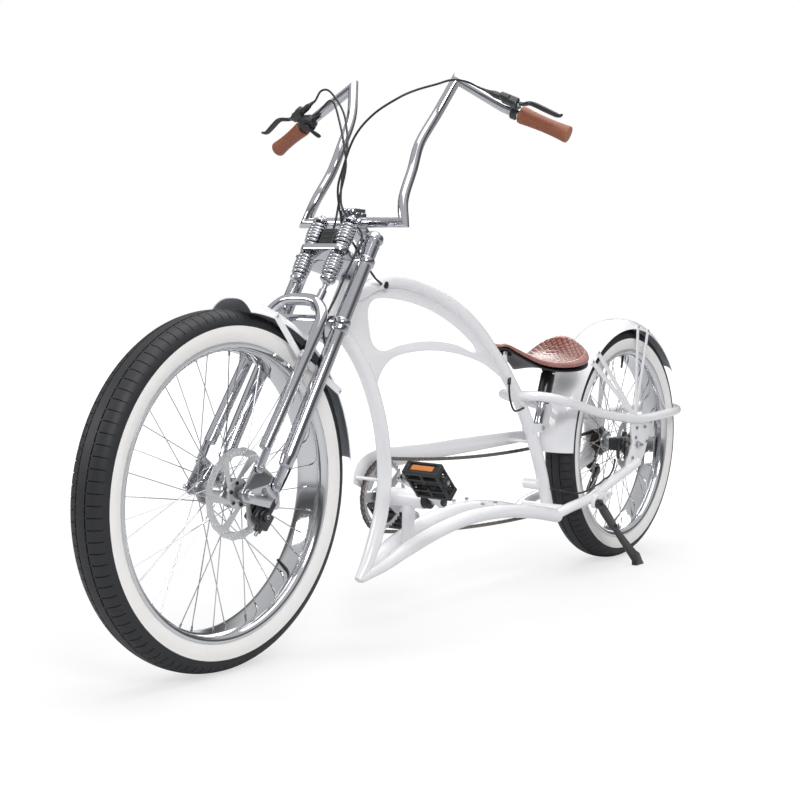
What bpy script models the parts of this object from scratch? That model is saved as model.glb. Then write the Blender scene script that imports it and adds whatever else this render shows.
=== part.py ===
"""A stretch cruiser bicycle with a springer fork, made of its separate pieces. Metres, +X forward, +Y left, +Z up."""

import math

import bmesh
import bpy
from mathutils import Matrix, Vector

# Wheels. Every height of an axle is the radius of its tyre, so both tyres stand on the ground.
WHEELBASE = 1.619
FRONT_TYRE_RADIUS = 0.352
FRONT_TYRE_HEIGHT = 0.0655
FRONT_RIM_RADIUS = FRONT_TYRE_RADIUS - FRONT_TYRE_HEIGHT
REAR_TYRE_RADIUS = 0.3253
REAR_TYRE_HEIGHT = 0.0643
REAR_RIM_RADIUS = REAR_TYRE_RADIUS - REAR_TYRE_HEIGHT
TYRE_WIDTH = 0.0880
TYRE_WALL = 0.0050
RIM_WIDTH = 0.0780
RIM_BAND_WIDTH = 0.0600
RIM_DEPTH = 0.0150
RIM_WALL = 0.0030
WHEEL_FACETS = 24
SPOKE_COUNT = 36
SPOKE_RADIUS = 0.0011
HUB_FLANGE_RADIUS = 0.0290
HUB_FLANGE_OFFSET = 0.0330
FLANGE_HALF = 0.0030
HUB_BARREL_RADIUS = 0.0160
HUB_HALF_LENGTH = 0.0575
AXLE_RADIUS = 0.0050
AXLE_HALF_LENGTH = 0.0940
FRONT_ROTOR_RADIUS = 0.0900
REAR_ROTOR_RADIUS = 0.0800
ROTOR_THICKNESS = 0.0020
ROTOR_OFFSET = 0.0500

# Frame tubes.
TUBE_RADIUS = 0.0160
RAIL_RADIUS = 0.0155
STAY_RADIUS = 0.0125
STAY_HALF_SPREAD = 0.0750
HEAD_TUBE_RADIUS = 0.0190
HEAD_TUBE_BORE = 0.0155
GUSSET_THICKNESS = 0.0060
BRACKET_SHELL_RADIUS = 0.0210
BRACKET_SHELL_HALF = 0.0450
CRANK_X = -0.632
CRANK_Z = 0.271
DROPOUT_THICKNESS = 0.0060
DROPOUT_INNER = 0.0700

# Fork: s runs up the steering axis, d runs forward of it, both from this point of the axis.
RAKE = math.radians(31.4)
HEAD_X = -0.404
HEAD_Z = 0.773
LEG_OFFSET = 0.0630
LEG_SPREAD = 0.0800
LEG_RADIUS = 0.0135
LEG_TOP = 0.0560
LEG_END = -0.4780
PIVOT_S = -0.5200
FRONT_LEG_RADIUS = 0.0110
FRONT_LEG_SPREAD = 0.0730
ROCKER_INNER = 0.0705
ROCKER_THICKNESS = 0.0050
LINK_S = -0.5120
LINK_D = 0.1260
SPRING_D = 0.1060
SPRING_SPREAD = 0.0400
SPRING_RADIUS = 0.0145
SPRING_WIRE = 0.0022
SPRING_CURLS = 5
SPRING_LENGTH = 0.0620
ROD_RADIUS = 0.0050
STEERER_RADIUS = 0.0127
CROWN_THICKNESS = 0.0160
BAR_RADIUS = 0.0111
GRIP_RADIUS = 0.0165
GRIP_LENGTH = 0.1120

# Drive.
CHAIN_Y = -0.0700
CHAINRING_TEETH = 42
CHAIN_PITCH = 0.0127
COG_TEETH = 14
JOCKEY_TEETH = 11
CRANK_LENGTH = 0.1700
CRANK_RISE = math.radians(24.5)
CRANK_OUTER = 0.1000

# Clearances.
SEAT = 0.0003
RUNNING = 0.0006
WELD = 0.00002

# The model's origin is under the middle of the length between the front tyre and the hoop behind the rear wheel.
HOOP_CLEARANCE = 0.0400
REAR_REACH = WHEELBASE + REAR_TYRE_RADIUS + HOOP_CLEARANCE + STAY_RADIUS
FRONT_AXLE_X = (REAR_REACH - FRONT_TYRE_RADIUS) / 2.0


def bike(x, y, z):
    """A point of the bicycle, with x counted from the front axle.

    Its lines are drawn for a wheelbase of 1.619 and a rear tyre radius of 0.3253. Behind the crank, over a length
    of 0.3, they stretch to the wheelbase that is set and rise to the rear axle that is set.
    """
    share = min(max((-0.66 - x) / 0.3, 0.0), 1.0)
    return Vector((x + FRONT_AXLE_X - (WHEELBASE - 1.619) * share, y, z + (REAR_TYRE_RADIUS - 0.3253) * share))


def drawn(outline):
    """A flat outline of the bicycle's (x, z) points, each with what follows it, placed as bike places a point."""
    placed = []
    for x, z, *rest in outline:
        point = bike(x, 0.0, z)
        placed.append((point.x, point.z, *rest))
    return placed


def fork(s, d, y):
    """A point of the fork, s up the steering axis and d forward of it."""
    x = HEAD_X - math.sin(RAKE) * s + math.cos(RAKE) * d
    z = HEAD_Z + math.cos(RAKE) * s + math.sin(RAKE) * d
    return bike(x, y, z)


FORK_UP = Vector((-math.sin(RAKE), 0.0, math.cos(RAKE)))
FORK_AHEAD = Vector((math.cos(RAKE), 0.0, math.sin(RAKE)))
ACROSS = Vector((0.0, 1.0, 0.0))
FRONT_AXLE = Vector((FRONT_AXLE_X, 0.0, FRONT_TYRE_RADIUS))
REAR_AXLE = Vector((FRONT_AXLE_X - WHEELBASE, 0.0, REAR_TYRE_RADIUS))
CRANK = bike(CRANK_X, 0.0, CRANK_Z)

for old in list(bpy.data.objects):
    bpy.data.objects.remove(old)
bicycle = bpy.data.collections.new("stretch_cruiser_bicycle")
bpy.context.scene.collection.children.link(bicycle)


def finish(name, rgb, roughness, metallic):
    material = bpy.data.materials.new(name)
    material.use_nodes = True
    shader = material.node_tree.nodes["Principled BSDF"]
    shader.inputs["Base Color"].default_value = (*rgb, 1.0)
    shader.inputs["Roughness"].default_value = roughness
    shader.inputs["Metallic"].default_value = metallic
    return material


WHITE_PAINT = finish("white_paint", (0.90, 0.90, 0.90), 0.25, 0.0)
CHROME = finish("chrome", (0.80, 0.80, 0.82), 0.08, 1.0)
STEEL = finish("steel", (0.55, 0.56, 0.58), 0.30, 1.0)
DARK_STEEL = finish("dark_steel", (0.20, 0.19, 0.18), 0.40, 1.0)
ALLOY = finish("alloy", (0.70, 0.70, 0.72), 0.30, 1.0)
BLACK_RUBBER = finish("black_rubber", (0.020, 0.020, 0.022), 0.75, 0.0)
BLACK_PLASTIC = finish("black_plastic", (0.015, 0.015, 0.016), 0.45, 0.0)
BLACK_PAINT = finish("black_paint", (0.012, 0.012, 0.014), 0.35, 0.2)
BROWN_GRIP = finish("brown_grip", (0.240, 0.090, 0.050), 0.60, 0.0)
BROWN_LEATHER = finish("brown_leather", (0.200, 0.055, 0.040), 0.50, 0.0)
AMBER = finish("amber", (0.800, 0.250, 0.020), 0.20, 0.0)


def solid(name, mesh_bm, material, origin):
    """A closed bmesh made into an object of that name, with its origin at a point of the bicycle."""
    bmesh.ops.remove_doubles(mesh_bm, verts=mesh_bm.verts, dist=WELD)
    bmesh.ops.recalc_face_normals(mesh_bm, faces=mesh_bm.faces)
    bmesh.ops.translate(mesh_bm, verts=mesh_bm.verts, vec=-origin)
    mesh = bpy.data.meshes.new(name)
    mesh_bm.to_mesh(mesh)
    mesh_bm.free()
    mesh.materials.append(material)
    mesh.shade_smooth()
    mesh.set_sharp_from_angle(angle=math.radians(35.0))
    made = bpy.data.objects.new(name, mesh)
    made.location = origin
    bicycle.objects.link(made)
    return made


def converted(made):
    """A curve, or an object with modifiers, made a plain mesh object in its place."""
    bpy.context.view_layer.update()
    graph = bpy.context.evaluated_depsgraph_get()
    mesh = bpy.data.meshes.new_from_object(made.evaluated_get(graph), depsgraph=graph)
    shape = bmesh.new()
    shape.from_mesh(mesh)
    bmesh.ops.transform(shape, matrix=made.matrix_world, verts=shape.verts)
    material = made.data.materials[0]
    name = made.name
    bpy.data.objects.remove(made)
    bpy.data.meshes.remove(mesh)
    return solid(name, shape, material, Vector((0.0, 0.0, 0.0)))


def tube(name, points, radius, material, sides=2, closed=False, radii=None):
    """A round tube along points, with 4 + 2 x sides flat sides."""
    curve = bpy.data.curves.new(name, "CURVE")
    curve.dimensions = "3D"
    curve.bevel_depth = radius
    curve.bevel_resolution = sides
    curve.use_fill_caps = not closed
    run = curve.splines.new("POLY")
    run.points.add(len(points) - 1)
    for index, point in enumerate(points):
        run.points[index].co = (*point, 1.0)
        run.points[index].radius = radii[index] if radii else 1.0
    run.use_cyclic_u = closed
    curve.materials.append(material)
    made = bpy.data.objects.new(name, curve)
    bicycle.objects.link(made)
    return converted(made)


def smooth(points, steps, closed=False):
    """Points on a smooth curve through the given ones, with that many steps between each two."""
    count = len(points)
    ends = count if closed else count - 1
    run = []
    for index in range(ends):
        near = [points[(index + k) % count] if closed else points[min(max(index + k, 0), count - 1)]
                for k in (-1, 0, 1, 2)]
        for step in range(steps):
            t = step / steps
            part = (2.0 * near[1] + (near[2] - near[0]) * t
                    + (2.0 * near[0] - 5.0 * near[1] + 4.0 * near[2] - near[3]) * t * t
                    + (3.0 * near[1] - near[0] - 3.0 * near[2] + near[3]) * t * t * t)
            run.append(part * 0.5)
    if not closed:
        run.append(points[-1].copy())
    return run


def aligned(centre, along, ahead=None):
    """The matrix that puts local Z along a direction and local X near another one."""
    z_axis = along.normalized()
    hint = ahead if ahead else (Vector((1.0, 0.0, 0.0)) if abs(z_axis.x) < 0.9 else Vector((0.0, 0.0, 1.0)))
    y_axis = z_axis.cross(hint).normalized()
    x_axis = y_axis.cross(z_axis)
    turn = Matrix((x_axis, y_axis, z_axis)).transposed().to_4x4()
    return Matrix.Translation(centre) @ turn


def turned(name, profile, centre, along, material, facets=24, half_turn=True):
    """A turned piece: profile lists (height, radius) down its outline, turned about a line."""
    place = aligned(centre, along)
    shape = bmesh.new()
    start = math.pi / facets if half_turn else 0.0
    verts = [shape.verts.new((radius * math.cos(start), radius * math.sin(start), height)) for height, radius in profile]
    edges = [shape.edges.new((verts[i], verts[i + 1])) for i in range(len(verts) - 1)]
    if profile[0][1] > 0.0 and profile[-1][1] > 0.0:
        edges.append(shape.edges.new((verts[-1], verts[0])))
    bmesh.ops.spin(shape, geom=verts + edges, cent=(0, 0, 0), axis=(0, 0, 1), angle=2.0 * math.pi,
                   steps=facets, use_merge=True)
    bmesh.ops.remove_doubles(shape, verts=shape.verts, dist=1e-6)
    bmesh.ops.transform(shape, matrix=place, verts=shape.verts)
    return solid(name, shape, material, Vector((0.0, 0.0, 0.0)))


def rod(name, start, end, radius, material, facets=16):
    """A plain round bar from one point to another."""
    shape = bmesh.new()
    place = aligned((start + end) / 2.0, end - start)
    bmesh.ops.create_cone(shape, cap_ends=True, segments=facets, radius1=radius, radius2=radius,
                          depth=(end - start).length, matrix=place)
    return solid(name, shape, material, Vector((0.0, 0.0, 0.0)))


def block(name, centre, size, material, along=None, ahead=None, bevel=0.0):
    """A box of a size, turned so that its Z runs along a direction, with rounded edges."""
    shape = bmesh.new()
    bmesh.ops.create_cube(shape, size=1.0)
    bmesh.ops.scale(shape, vec=size, verts=shape.verts)
    if bevel:
        bmesh.ops.bevel(shape, geom=shape.edges, offset=bevel, segments=1, affect="EDGES", profile=0.5, material=-1)
    place = aligned(centre, along if along else Vector((0.0, 0.0, 1.0)), ahead)
    bmesh.ops.transform(shape, matrix=place, verts=shape.verts)
    return solid(name, shape, material, Vector((0.0, 0.0, 0.0)))


def plate(name, outline, low, high, material, holes=(), place=None):
    """A flat plate between two heights of local Z, from an outline and holes in local X and Y."""
    curve = bpy.data.curves.new(name, "CURVE")
    curve.dimensions = "2D"
    curve.fill_mode = "BOTH"
    curve.extrude = (high - low) / 2.0
    for loop in (outline, *holes):
        run = curve.splines.new("POLY")
        run.points.add(len(loop) - 1)
        for index, point in enumerate(loop):
            run.points[index].co = (point[0], point[1], 0.0, 1.0)
        run.use_cyclic_u = True
    curve.materials.append(material)
    made = bpy.data.objects.new(name, curve)
    bicycle.objects.link(made)
    lift = Matrix.Translation((0.0, 0.0, (low + high) / 2.0))
    made.matrix_world = (place if place else Matrix.Identity(4)) @ lift
    return converted(made)


def true_radius(radius, facets):
    """The radius of a faceted ring's corners, so that its flats lie at the real radius."""
    return radius / math.cos(math.pi / facets)


def circle(x, y, radius, count=20):
    turn = 2.0 * math.pi / count
    return [(x + radius * math.cos((k + 0.5) * turn), y + radius * math.sin((k + 0.5) * turn)) for k in range(count)]


def stadium(points_radii, count=8):
    """The outline round a few circles: a polygon of the outer points of each, taken as their hull."""
    cloud = []
    for x, y, radius in points_radii:
        cloud += circle(x, y, radius, 4 * count)
    cloud = sorted(set(cloud))
    lower = []
    for point in cloud:
        while len(lower) > 1 and turn_of(lower[-2], lower[-1], point) <= 1e-12:
            lower.pop()
        lower.append(point)
    upper = []
    for point in reversed(cloud):
        while len(upper) > 1 and turn_of(upper[-2], upper[-1], point) <= 1e-12:
            upper.pop()
        upper.append(point)
    return lower[:-1] + upper[:-1]


def turn_of(a, b, c):
    return (b[0] - a[0]) * (c[1] - a[1]) - (b[1] - a[1]) * (c[0] - a[0])


def side_plane(y_sign=1.0):
    """Local X forward, local Y up, local Z across the bicycle to the given side."""
    return Matrix(((1.0, 0.0, 0.0, 0.0), (0.0, 0.0, y_sign, 0.0), (0.0, 1.0, 0.0, 0.0), (0.0, 0.0, 0.0, 1.0)))


def merged(base, others, operation="UNION"):
    """Others welded to a base, or cut from it, one after another; the others are used up."""
    for other in others:
        change = base.modifiers.new("join", "BOOLEAN")
        change.operation = operation
        change.solver = "EXACT"
        change.object = other
        base = converted(base)
        bpy.data.objects.remove(other)
    return base


def pivoted(made, origin):
    """The object's origin moved to its joint's axis, its shape left where it is."""
    shift = Matrix.Translation(made.location - origin)
    made.data.transform(shift)
    made.location = origin
    return made


def mirrored(made, name):
    """A copy of a left hand piece, on the right."""
    shape = bmesh.new()
    shape.from_mesh(made.data)
    bmesh.ops.transform(shape, matrix=made.matrix_world, verts=shape.verts)
    bmesh.ops.scale(shape, vec=(1.0, -1.0, 1.0), verts=shape.verts)
    origin = made.location * Vector((1.0, -1.0, 1.0))
    return solid(name, shape, made.data.materials[0], origin)


# The frame's tubes, as places of their centre lines, forward and up from the ground under the front axle.
ARCH_LINE = [(-0.380, 0.716), (-0.432, 0.737), (-0.500, 0.760), (-0.581, 0.765), (-0.699, 0.742), (-0.825, 0.695),
             (-0.905, 0.649), (-0.957, 0.609), (-1.008, 0.568), (-1.052, 0.525), (-1.095, 0.480), (-1.135, 0.429),
             (-1.180, 0.361), (-1.218, 0.289), (-1.245, 0.225), (-1.262, 0.180)]
DOWN_LINE = [(-0.345, 0.672), (-0.373, 0.653), (-0.405, 0.628), (-0.447, 0.582), (-0.484, 0.525), (-0.514, 0.457),
             (-0.531, 0.389), (-0.537, 0.321), (-0.528, 0.255), (-0.505, 0.191), (-0.477, 0.140), (-0.450, 0.108)]
RAIL_LINE = [(-0.462, 0.012, 0.112), (-0.520, 0.018, 0.134), (-0.602, 0.026, 0.163), (-0.720, 0.033, 0.192),
             (-0.845, 0.039, 0.208), (-0.979, 0.045, 0.206), (-1.110, 0.051, 0.189), (-1.215, 0.057, 0.168)]
CHAINSTAY_LINE = [(-1.205, 0.058, 0.172), (-1.260, 0.070, 0.187), (-1.356, 0.075, 0.201), (-1.466, 0.075, 0.232),
                  (-1.582, 0.075, 0.262), (-1.622, 0.075, 0.275)]
UPPER_STAY_HEIGHTS = [(-1.105, 0.484), (-1.180, 0.472), (-1.286, 0.451), (-1.396, 0.426), (-1.512, 0.408),
                      (-1.633, 0.396), (-1.758, 0.399), (-1.860, 0.402)]


def line_points(line, steps):
    return smooth([bike(x, 0.0, z) for x, z in line], steps)


def head_tube():
    shell = rod("frame", fork(-0.138, 0.0, 0.0), fork(-0.018, 0.0, 0.0), HEAD_TUBE_RADIUS, WHITE_PAINT, 16)
    return shell


def gusset():
    """The flat plate between the main tube and the down tube, with its window."""
    outer = [(-0.395, 0.722), (-0.432, 0.737), (-0.500, 0.760), (-0.581, 0.765), (-0.699, 0.742), (-0.825, 0.695), (-0.905, 0.649),
             (-0.957, 0.609), (-1.008, 0.568), (-1.048, 0.529)]
    lower_band = [(-1.010, 0.535), (-0.950, 0.563), (-0.895, 0.580), (-0.808, 0.598), (-0.704, 0.607), (-0.620, 0.604),
                  (-0.570, 0.597), (-0.538, 0.584), (-0.514, 0.562), (-0.500, 0.535), (-0.490, 0.510)]
    front = [(-0.484, 0.525), (-0.447, 0.582), (-0.405, 0.628), (-0.373, 0.653), (-0.350, 0.680)]
    window = [(-0.462, 0.690), (-0.469, 0.715), (-0.500, 0.727), (-0.580, 0.724), (-0.660, 0.711), (-0.730, 0.692),
              (-0.790, 0.669), (-0.850, 0.640), (-0.893, 0.610), (-0.882, 0.598), (-0.808, 0.618), (-0.704, 0.629),
              (-0.600, 0.625), (-0.525, 0.612), (-0.495, 0.618), (-0.474, 0.640)]
    half = GUSSET_THICKNESS / 2.0
    return plate("gusset", drawn(outer + lower_band + front), -half, half, WHITE_PAINT, [drawn(window)], side_plane())


def hoop_points():
    """The upper stays: one tube round both sides of the rear wheel, closed ahead of it and behind it."""
    back_height = bike(UPPER_STAY_HEIGHTS[-1][0], 0.0, UPPER_STAY_HEIGHTS[-1][1] + 0.002).z
    back = Vector((REAR_AXLE.x - REAR_TYRE_RADIUS - HOOP_CLEARANCE, 0.0, back_height))
    left = [bike(x, STAY_HALF_SPREAD, z) for x, z in UPPER_STAY_HEIGHTS[1:]]
    bend_back = Vector((back.x + 0.020, STAY_HALF_SPREAD * 0.72, back.z))
    front = bike(UPPER_STAY_HEIGHTS[0][0] + 0.014, 0.0, UPPER_STAY_HEIGHTS[0][1])
    bend_front = bike(UPPER_STAY_HEIGHTS[0][0] - 0.012, STAY_HALF_SPREAD * 0.72, 0.483)
    left_side = [bend_front] + left + [bend_back]
    right_side = [Vector((p.x, -p.y, p.z)) for p in reversed(left_side)]
    return smooth([front] + left_side + [back] + right_side, 1, True)


def dropout(side):
    """The plate between the upper stay and the chainstay that holds the rear axle."""
    outline = [(-1.560, 0.262), (-1.630, 0.262), (-1.668, 0.300), (-1.690, 0.350), (-1.694, 0.398), (-1.640, 0.400),
               (-1.585, 0.404), (-1.583, 0.360), (-1.590, 0.330), (-1.575, 0.300)]
    hole = circle(REAR_AXLE.x, REAR_AXLE.z, true_radius(AXLE_RADIUS + SEAT, 20))
    return plate("dropout", drawn(outline), DROPOUT_INNER, DROPOUT_INNER + DROPOUT_THICKNESS, WHITE_PAINT, [hole],
                 side_plane(side))


GUARD_OUTER = -0.0835
GUARD_INNER = -0.0810
GUARD_BRACKETS = ((-0.5385, 0.320), (-1.183, 0.358))
SADDLE_PIVOT = (-1.012, 0.594)
EAR_INNER = 0.0105
STRUT_FOOT = (-1.198, 0.395)
STRUT_HEAD = (-1.250, 0.545)
CLEVIS_INNER = 0.0125


def frame():
    body = head_tube()
    pieces = [tube("arch", line_points(ARCH_LINE, 1), TUBE_RADIUS, WHITE_PAINT, 2),
              tube("down", line_points(DOWN_LINE, 1), TUBE_RADIUS, WHITE_PAINT, 2, radii=[1.0] * 10 + [0.75, 0.45]),
              gusset()]
    for side in (1.0, -1.0):
        rail = [bike(x, y * side, z) for x, y, z in RAIL_LINE]
        pieces.append(tube("rail", rail, RAIL_RADIUS, WHITE_PAINT, 2, radii=[0.45, 0.8] + [1.0] * 6))
    pieces.append(rod("yoke", bike(-1.235, -0.060, 0.178), bike(-1.235, 0.060, 0.178), 0.017, WHITE_PAINT, 12))
    for side in (1.0, -1.0):
        stay = [bike(x, y * side, z) for x, y, z in CHAINSTAY_LINE]
        pieces.append(tube("chainstay", stay, STAY_RADIUS + 0.001, WHITE_PAINT, 2))
    pieces.append(tube("hoop", hoop_points(), STAY_RADIUS, WHITE_PAINT, 2, closed=True))
    pieces += [dropout(1.0), dropout(-1.0)]
    pieces.append(rod("cross", bike(-1.216, -0.045, 0.245), bike(-1.216, 0.0, 0.245), 0.0145, WHITE_PAINT, 12))
    pieces.append(rod("rail_bridge", bike(CRANK_X, -0.036, 0.172), bike(CRANK_X, 0.036, 0.172), 0.012, WHITE_PAINT, 12))
    pieces.append(rod("post", bike(CRANK_X, 0.0, 0.176), bike(CRANK_X, 0.0, CRANK_Z), 0.0150, WHITE_PAINT, 12))
    cup, lip = BRACKET_SHELL_HALF + 0.018, BRACKET_SHELL_HALF
    shell = [(cup, 0.0), (cup, 0.0185), (lip, 0.0195), (lip, BRACKET_SHELL_RADIUS), (-lip, BRACKET_SHELL_RADIUS),
             (-lip, 0.0195), (-cup, 0.0185), (-cup, 0.0)]
    pieces.append(turned("shell", shell, CRANK, ACROSS, WHITE_PAINT, 14))
    head_cups = [(-0.0125, 0.0), (-0.0125, 0.0195), (-0.0180, 0.0210), (-0.0260, 0.0200), (-0.0260, 0.0)]
    foot_cups = [(-0.1300, 0.0), (-0.1300, 0.0200), (-0.1380, 0.0215), (-0.1435, 0.0200), (-0.1435, 0.0)]
    pieces += [turned("cup", head_cups, fork(0.0, 0.0, 0.0), FORK_UP, WHITE_PAINT, 16),
               turned("cup", foot_cups, fork(0.0, 0.0, 0.0), FORK_UP, WHITE_PAINT, 16)]
    for x, z in GUARD_BRACKETS:
        pieces.append(rod("guard_bracket", bike(x, 0.0, z), bike(x, GUARD_INNER + SEAT, z), 0.0040, WHITE_PAINT, 8))
    saddle_ear = [(SADDLE_PIVOT[0], SADDLE_PIVOT[1] - 0.022, 0.010), (*SADDLE_PIVOT, 0.0060)]
    strut_ear = [(STRUT_FOOT[0] + 0.038, STRUT_FOOT[1] + 0.002, 0.012), (*STRUT_FOOT, 0.0100)]
    for side in (1.0, -1.0):
        low, high = sorted((side * EAR_INNER, side * (EAR_INNER + 0.0030)))
        pieces.append(plate("ear", stadium(drawn(saddle_ear), 3), low, high, WHITE_PAINT, (), side_plane()))
        low, high = sorted((side * CLEVIS_INNER, side * (CLEVIS_INNER + 0.0040)))
        pieces.append(plate("ear", stadium(drawn(strut_ear), 3), low, high, WHITE_PAINT, (), side_plane()))
    pin = EAR_INNER + 0.0050
    pieces.append(rod("pin", bike(SADDLE_PIVOT[0], -pin, SADDLE_PIVOT[1]), bike(SADDLE_PIVOT[0], pin, SADDLE_PIVOT[1]),
                      0.0030, WHITE_PAINT, 8))
    pin = CLEVIS_INNER + 0.0060
    pieces.append(rod("pin", bike(STRUT_FOOT[0], -pin, STRUT_FOOT[1]), bike(STRUT_FOOT[0], pin, STRUT_FOOT[1]),
                      0.0040, WHITE_PAINT, 8))
    body = merged(body, pieces)
    bores = [rod("bore", fork(-0.200, 0.0, 0.0), fork(0.060, 0.0, 0.0), true_radius(STEERER_RADIUS + RUNNING, 16), WHITE_PAINT, 16),
             rod("bore", CRANK - ACROSS * 0.09, CRANK + ACROSS * 0.09, true_radius(0.0085 + RUNNING, 12), WHITE_PAINT, 12)]
    body = merged(body, bores, "DIFFERENCE")
    body.name = "frame"
    return body


def tyre(name, axle, tread, rim_radius):
    """A wide tyre, open towards the rim, with a flat crown and round shoulders."""
    half = TYRE_WIDTH / 2.0
    bead = rim_radius + SEAT
    left = [(RIM_WIDTH / 2.0 - 0.0005, bead), (half, bead + 0.022), (half - 0.002, tread - 0.022),
            (half - 0.011, tread - 0.007), (0.016, tread)]
    inside = [(half - TYRE_WALL - 0.009, tread - 0.012), (RIM_WIDTH / 2.0 - TYRE_WALL, bead)]
    right = [(-y, r) for y, r in reversed(left)]
    inner_right = [(-y, r) for y, r in reversed(inside)]
    loop = [(y, true_radius(r, WHEEL_FACETS)) for y, r in left + right + inner_right + inside]
    return pivoted(turned(name, loop, axle, ACROSS, BLACK_RUBBER, WHEEL_FACETS), axle)


def rim(radius, axle):
    """The deep chrome rim: a channel with a flat inner band and two side faces."""
    edge = RIM_WIDTH / 2.0
    band = RIM_BAND_WIDTH / 2.0
    inner = radius - RIM_DEPTH
    loop = [(edge, radius), (band, inner), (-band, inner), (-edge, radius), (-edge + RIM_WALL, radius),
            (-band + 0.001, inner + RIM_WALL), (band - 0.001, inner + RIM_WALL), (edge - RIM_WALL, radius)]
    loop = [(y, true_radius(r, WHEEL_FACETS)) for y, r in loop]
    return turned("rim", loop, axle, ACROSS, CHROME, WHEEL_FACETS)


def hub(axle, left_flange, right_flange, right_end):
    """The hub shell with two spoke flanges, a rotor seat on the left and a bore for the axle."""
    bore = AXLE_RADIUS + RUNNING
    flange = FLANGE_HALF
    left_end = HUB_HALF_LENGTH
    seat = ROTOR_OFFSET - SEAT
    loop = [(left_end, bore), (left_end, 0.0115), (seat, 0.0115), (seat, 0.022), (seat - 0.005, 0.016),
            (left_flange + flange, 0.016), (left_flange + flange, HUB_FLANGE_RADIUS),
            (left_flange - flange, HUB_FLANGE_RADIUS), (left_flange - flange, HUB_BARREL_RADIUS),
            (right_flange + flange, HUB_BARREL_RADIUS), (right_flange + flange, HUB_FLANGE_RADIUS),
            (right_flange - flange, HUB_FLANGE_RADIUS), (right_flange - flange, 0.0115), (right_end, 0.0115),
            (right_end, bore)]
    return turned("hub", loop, axle, ACROSS, ALLOY, 10)


def spokes(axle, left_flange, right_flange, rim_radius):
    """All the spokes, crossed three times, each from a flange to the rim's band."""
    shape = bmesh.new()
    on_flange = SPOKE_COUNT // 2
    step = 2.0 * math.pi / on_flange
    for side, flange in ((1.0, left_flange), (-1.0, right_flange)):
        for index in range(on_flange):
            lead = 1.0 if index % 2 == 0 else -1.0
            hub_angle = index * step + (0.0 if side > 0 else step / 2.0)
            rim_angle = hub_angle + lead * math.radians(60.0)
            start = axle + Vector((0.025 * math.cos(hub_angle), flange + lead * (FLANGE_HALF - SPOKE_RADIUS - 0.0002), 0.025 * math.sin(hub_angle)))
            reach = rim_radius - RIM_DEPTH + 0.0022
            end = axle + Vector((reach * math.cos(rim_angle), side * 0.006, reach * math.sin(rim_angle)))
            bmesh.ops.create_cone(shape, cap_ends=True, segments=3, radius1=SPOKE_RADIUS, radius2=SPOKE_RADIUS,
                                  depth=(end - start).length, matrix=aligned((start + end) / 2.0, end - start))
    return solid("spokes", shape, STEEL, Vector((0.0, 0.0, 0.0)))


def wheel(name, axle, rim_radius, left_flange, right_flange, right_end):
    body = merged(rim(rim_radius, axle), [spokes(axle, left_flange, right_flange, rim_radius),
                                          hub(axle, left_flange, right_flange, right_end)])
    body.name = name
    return pivoted(body, axle)


def rotor(name, axle, radius):
    """A brake rotor: a thin ring on six swept arms."""
    outline = circle(0.0, 0.0, radius, 24)
    bore = circle(0.0, 0.0, true_radius(0.0115 + SEAT, 12), 12)
    holes = [bore]
    arms = 5
    inner, outer = 0.026, radius - 0.016
    for index in range(arms):
        start = 2.0 * math.pi * index / arms
        span = 2.0 * math.pi / arms
        arc = 2
        low = [(inner, start + span * (0.14 + 0.72 * k / arc)) for k in range(arc + 1)]
        high = [(outer, start + 0.25 + span * (0.92 - 0.84 * k / arc)) for k in range(arc + 1)]
        holes.append([(r * math.cos(a), r * math.sin(a)) for r, a in low + high])
    place = Matrix.Translation(axle) @ side_plane()
    made = plate(name, outline, ROTOR_OFFSET, ROTOR_OFFSET + ROTOR_THICKNESS, STEEL, holes, place)
    return pivoted(made, axle)


def axle_bar(name, axle, spacer_in, dropout_in, dropout_thick, end, sleeve=()):
    """The axle with its locknuts, washers and outer nuts, and a sleeve on the right where cogs turn on it."""
    gap = SEAT
    half = [(end, AXLE_RADIUS), (dropout_in + dropout_thick + 0.0090, 0.0070), (dropout_in + dropout_thick + gap, 0.0095),
            (dropout_in + dropout_thick + gap, AXLE_RADIUS), (dropout_in - gap, AXLE_RADIUS),
            (dropout_in - gap, 0.0090), (spacer_in + gap, 0.0090), (spacer_in + gap, AXLE_RADIUS)]
    right = [(-y, r) for y, r in reversed(half)]
    if sleeve:
        start, radius = sleeve
        right = [(start, AXLE_RADIUS), (start, radius), (-spacer_in - gap, radius)] + right[1:]
    profile = [(end, 0.0)] + half + right + [(-end, 0.0)]
    return pivoted(turned(name, profile, axle, ACROSS, STEEL, 6), axle)


def fender(name, axle, radius, start, stop, width):
    """A rolled sheet mudguard: an arc of a crowned section, with thickness."""
    wall = 0.0015
    steps = round(abs(stop - start) / math.radians(11.0))
    half = width / 2.0
    section = [(-half, radius - 0.014), (-half * 0.88, radius - 0.001), (-half * 0.45, radius + 0.006),
               (half * 0.45, radius + 0.006), (half * 0.88, radius - 0.001), (half, radius - 0.014)]
    shape = bmesh.new()
    rows = []
    for k in range(steps + 1):
        angle = start + (stop - start) * k / steps
        rows.append([shape.verts.new((axle.x + r * math.cos(angle), y, axle.z + r * math.sin(angle)))
                     for y, r in section])
    for low, high in zip(rows, rows[1:]):
        for j in range(len(section) - 1):
            shape.faces.new((low[j], low[j + 1], high[j + 1], high[j]))
    bmesh.ops.recalc_face_normals(shape, faces=shape.faces)
    bmesh.ops.solidify(shape, geom=shape.faces, thickness=wall)
    return solid(name, shape, WHITE_PAINT, Vector((0.0, 0.0, 0.0)))


SHARP_TOOTH = ((0.0, True), (0.5, False))


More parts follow.
